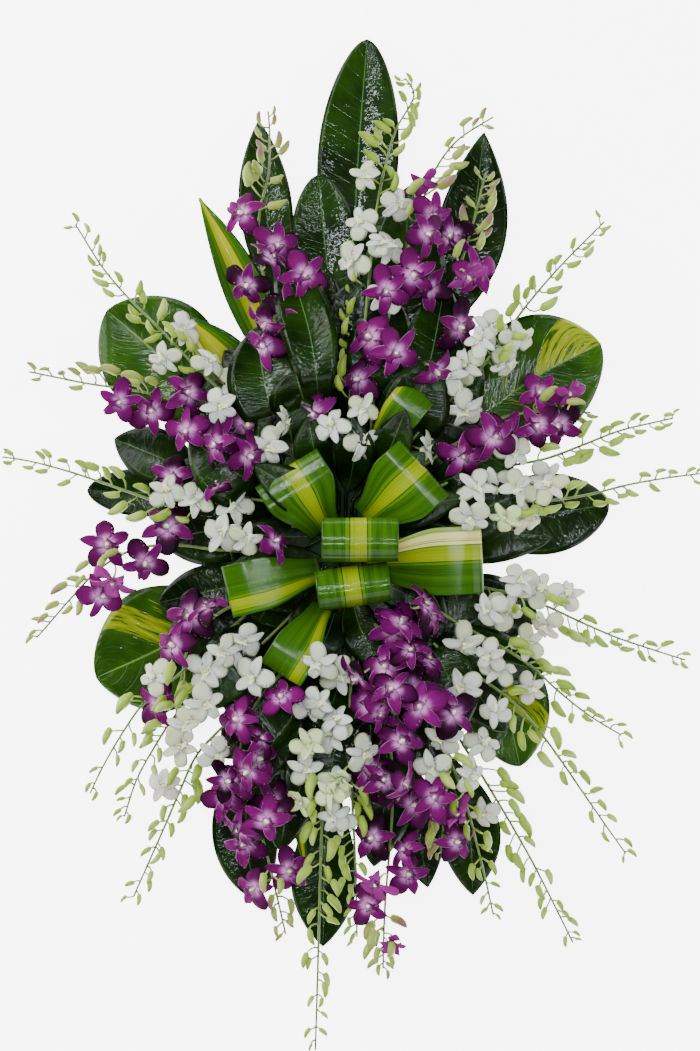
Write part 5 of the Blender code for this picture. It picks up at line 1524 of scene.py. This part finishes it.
def make_paints():
    """Every finish, by the kind of leaf or the name of the one leaf that it is for."""
    green_stem = (0.070, 0.115, 0.018)
    striped_lines = [(-0.46, 0.8), (0.44, 1.0), (0.52, 0.6), (-0.62, 0.5), (0.70, 0.5), (0.05, 0.4)]
    rolled_lines = [(-0.235, 1.0), (0.235, 1.0), (-0.34, 0.9), (0.36, 0.8), (0.42, 0.6), (-0.52, 0.5),
                    (0.11, 0.35)]
    return {
        "dark": dark_leaf_paint("dark_leaf_gloss", (0.0018, 0.0076, 0.0004), (0.0074, 0.0250, 0.0011)),
        "broad": dark_leaf_paint("broad_leaf_gloss", (0.0020, 0.0082, 0.0004), (0.0085, 0.0275, 0.0011)),
        # Inner leaves are nearly black, darker than the dark ones: painted shade for the gaps between the
        # flowers
        "filler": dark_leaf_paint("inner_leaf_painted_shade_gloss", (0.0012, 0.0050, 0.0002), (0.0060, 0.021, 0.0006)),
        "pothos": marbled_paint("marbled_leaf_gloss", 1, 20.0, 21.0, 0.0),
        "right_marbled_leaf": marbled_paint("marbled_leaf_right_gloss", 1, 5.0, 12.0, 0.05),
        "lower_left_marbled_leaf": marbled_paint("marbled_leaf_left_gloss", -1, 3.2, 4.8, 0.0),
        "lower_right_leaf": marbled_paint("marbled_leaf_low_gloss", 1, 3.6, 5.4, 0.03),
        "striped": banded_paint("striped_leaf_gloss", (0.006, 0.030, 0.002), (0.020, 0.080, 0.003),
                                (0.052, 0.110, 0.001), (0.27, 0.28, 0.003), 0.36, striped_lines, 0.0),
        # The rolled leaves' last value, 0.7, is their painted shade towards the foot
        "rolled": banded_paint("rolled_leaf_gloss", (0.011, 0.044, 0.0005), (0.023, 0.079, 0.0008),
                               (0.062, 0.136, 0.0005), (0.175, 0.225, 0.0002), 0.21, rolled_lines, 0.7),
        "purple_petal": petal_paint("purple_petal_satin", (0.54, 0.23, 0.50), (0.112, 0.0, 0.080),
                                    (0.008, 0.0, 0.005), (0.36, 0.20, 0.30), (0.44, 0.20, 0.40),
                                    (0.20, 0.015, 0.15), 0.60, 0.0),
        "purple_lip": petal_paint("purple_lip_satin", (0.54, 0.38, 0.44), (0.10, 0.0, 0.075),
                                  (0.035, 0.0, 0.026), (0.36, 0.20, 0.28), (0.44, 0.20, 0.40),
                                  (0.22, 0.03, 0.16), 0.60, 0.0),
        "white_petal": petal_paint("white_petal_satin", (0.42, 0.50, 0.16), (0.44, 0.45, 0.41),
                                   (0.34, 0.39, 0.23), (0.40, 0.45, 0.29), (0.56, 0.57, 0.52),
                                   (0.46, 0.54, 0.24), 0.22, 0.08),
        "white_lip": petal_paint("white_lip_satin", (0.32, 0.42, 0.07), (0.58, 0.63, 0.36),
                                 (0.58, 0.63, 0.40), (0.52, 0.58, 0.34), (0.66, 0.69, 0.52),
                                 (0.44, 0.52, 0.20), 0.6, 0.08),
        "column": plain_paint("column_satin", (0.70, 0.64, 0.58), (0.50, 0.44, 0.26), 200.0, 0.5, 0.1),
        "white_stem": stem_paint("white_spray_green", green_stem, (0.22, 0.32, 0.05), (0.185, 0.275, 0.018),
                                 (0.12, 0.20, 0.008), (0.30, 0.37, 0.09)),
        "purple_stem": stem_paint("purple_spray_green", green_stem, (0.26, 0.28, 0.10), (0.20, 0.26, 0.035),
                                  (0.16, 0.18, 0.035), (0.13, 0.025, 0.055)),
        "foam": plain_paint("foam_green", (0.003, 0.016, 0.005), (0.006, 0.028, 0.009), 900.0, 0.95,
                            depth=0.002),
        "tray": plain_paint("tray_green", (0.004, 0.022, 0.008), (0.006, 0.028, 0.011), 60.0, 0.42),
        "floor": plain_paint("pale_floor", (0.86, 0.86, 0.86), (0.88, 0.88, 0.88), 3.0, 0.9, depth=0.0001,
                             glow=FLOOR_GLOW),
    }


def make_floor(finish):
    mesh = bpy.data.meshes.new("floor")
    corners = [(x * FLOOR_REACH, y * FLOOR_REACH, 0) for x, y in ((-1, -1), (1, -1), (1, 1), (-1, 1))]
    mesh.from_pydata(corners, [], [(0, 1, 2, 3)])
    mesh.materials.append(finish)
    floor = bpy.data.objects.new("floor", mesh)
    bpy.context.scene.collection.objects.link(floor)


def make_light(name, place, size, watts, colour):
    """A soft rectangular light that faces the middle of the spray."""
    lamp = bpy.data.lights.new(name, "AREA")
    lamp.shape = "RECTANGLE"
    lamp.size, lamp.size_y = size
    lamp.energy = watts
    lamp.color = colour
    made = bpy.data.objects.new(name, lamp)
    made.location = place
    made.rotation_euler = (Vector(LIT_POINT) - Vector(place)).to_track_quat("-Z", "Y").to_euler()
    bpy.context.scene.collection.objects.link(made)


def make_lights():
    for name, place, size, watts, colour in LIGHTS:
        make_light(name, place, size, watts, colour)
    world = bpy.data.worlds.new("studio")
    world.use_nodes = True
    sky = world.node_tree.nodes["Background"]
    sky.inputs["Color"].default_value = (1.0, 1.0, 1.0, 1.0)
    sky.inputs["Strength"].default_value = SKY
    bpy.context.scene.world = world


def make_camera():
    """A long lens that looks straight down; its frame is the photograph's, a pixel to 1.08 mm at the
    height of the flowers."""
    camera = bpy.data.cameras.new("camera")
    camera.sensor_width = SENSOR_WIDTH
    tall = PHOTO_HEIGHT * PIXEL * MM
    camera.lens = camera.sensor_width * CAMERA_DISTANCE / tall
    made = bpy.data.objects.new("camera", camera)
    x = (PHOTO_WIDTH / 2 - TRAY_CENTRE_PIXEL[0]) * PIXEL * MM
    y = (TRAY_CENTRE_PIXEL[1] - PHOTO_HEIGHT / 2) * PIXEL * MM
    made.location = (x, y, FLOWER_LEVEL + CAMERA_DISTANCE)
    bpy.context.scene.collection.objects.link(made)
    bpy.context.scene.camera = made


def refine_holder(paints):
    """The foam and the tray keep their solids and get finer materials."""
    for node, finish in (("floral_foam", "foam"), ("holder_tray", "tray")):
        solid = frame["nodes"][node]
        solid.data.materials.clear()
        solid.data.materials.append(paints[finish])


def flat_top(half_width, half_length, height):
    """Points all over a flat top."""
    return np.array([(x, y, height) for x in np.arange(-half_width, half_width + 1, CELL)
                     for y in np.arange(-half_length, half_length + 1, CELL)])


def lay_out():
    """Places everything as the solids do: leaves, foam, stems and loops, then blooms and buds. The
    filling leaves lie on the other leaves and lift none of the flowers."""
    heights = Heights()
    heights.place(flat_top(TRAY_HALF_WIDTH, TRAY_HALF_LENGTH, TRAY_RIM))
    leaves = [Leaf(*row) for row in LEAVES]
    for leaf in leaves:
        leaf.drape_on(heights)
    over = Heights()
    over.top = heights.top.copy()
    chance = random.Random("fillers")
    behind = behind_leaves(over)
    backing = filler_leaves(over, chance)
    heights.place(flat_top(FOAM_WIDTH / 2, FOAM_LENGTH / 2, FOAM_TOP))
    over.top = np.maximum(over.top, heights.top)
    collar = collar_leaves(over, chance)
    sprays = [Spray(*row) for row in SPRAYS]
    for spray in sprays:
        spray.drape_stem(heights)
    loops = [Loop(*row) for row in LOOPS]
    for loop in loops:
        loop.drape_on(heights)
    for spray in sprays:
        spray.start_outside(loops)
    for i in range(max(spray.blooms for spray in sprays)):
        for spray in (spray for spray in sprays if i < spray.blooms):
            spray.place_bloom(heights, i)
    for spray in sprays:
        for i in range(spray.buds):
            spray.place_bud(heights, i)
    for spray in sprays:
        spray.add_rest(heights, loops)
    return leaves, behind, backing, collar, sprays, loops


def make_spray(spray, templates, paints):
    """Two pieces: the petals, and the stem with its stalks and buds."""
    blooms = [flower for flower in spray.flowers if flower["kind"] == "bloom"]
    buds = [flower for flower in spray.flowers if flower["kind"] == "bud"]
    bag = Bag()
    add_blooms(bag, blooms, templates)
    finishes = [paints[spray.colour + "_petal"], paints[spray.colour + "_lip"], paints["column"]]
    bag.piece(spray.name + "_blooms", finishes, spray.name)
    greens = Bag()
    add_stem(greens, spray)
    add_pedicels(greens, blooms)
    if buds:
        add_buds(greens, buds)
    finish = paints[spray.colour + "_stem"]
    greens.piece(spray.name + "_stem", [finish], spray.name)


def main():
    make_camera()
    make_lights()
    paints = make_paints()
    make_floor(paints["floor"])
    leaves, behind, backing, collar, sprays, loops = lay_out()
    for leaf in leaves:
        make_leaf(leaf, paints)
    make_fillers(behind, "behind_leaves", paints["dark"])
    # The backing and collar leaves get the near-black finish, painted shade between the flowers
    make_fillers(backing, "backing_leaves", paints["filler"])
    make_fillers(collar, "collar_leaves", paints["filler"])
    for loop, shift, cream in zip(loops, STRIPE_SHIFTS, CREAM):
        make_loop(loop, paints["rolled"], shift, cream)
    chance = random.Random("blooms")
    templates = {colour: [bloom_template(chance, openness, fullness) for openness in OPENNESS]
                 for colour, fullness in FULLNESS.items()}
    for spray in sprays:
        make_spray(spray, templates[spray.colour], paints)
    refine_holder(paints)


main()
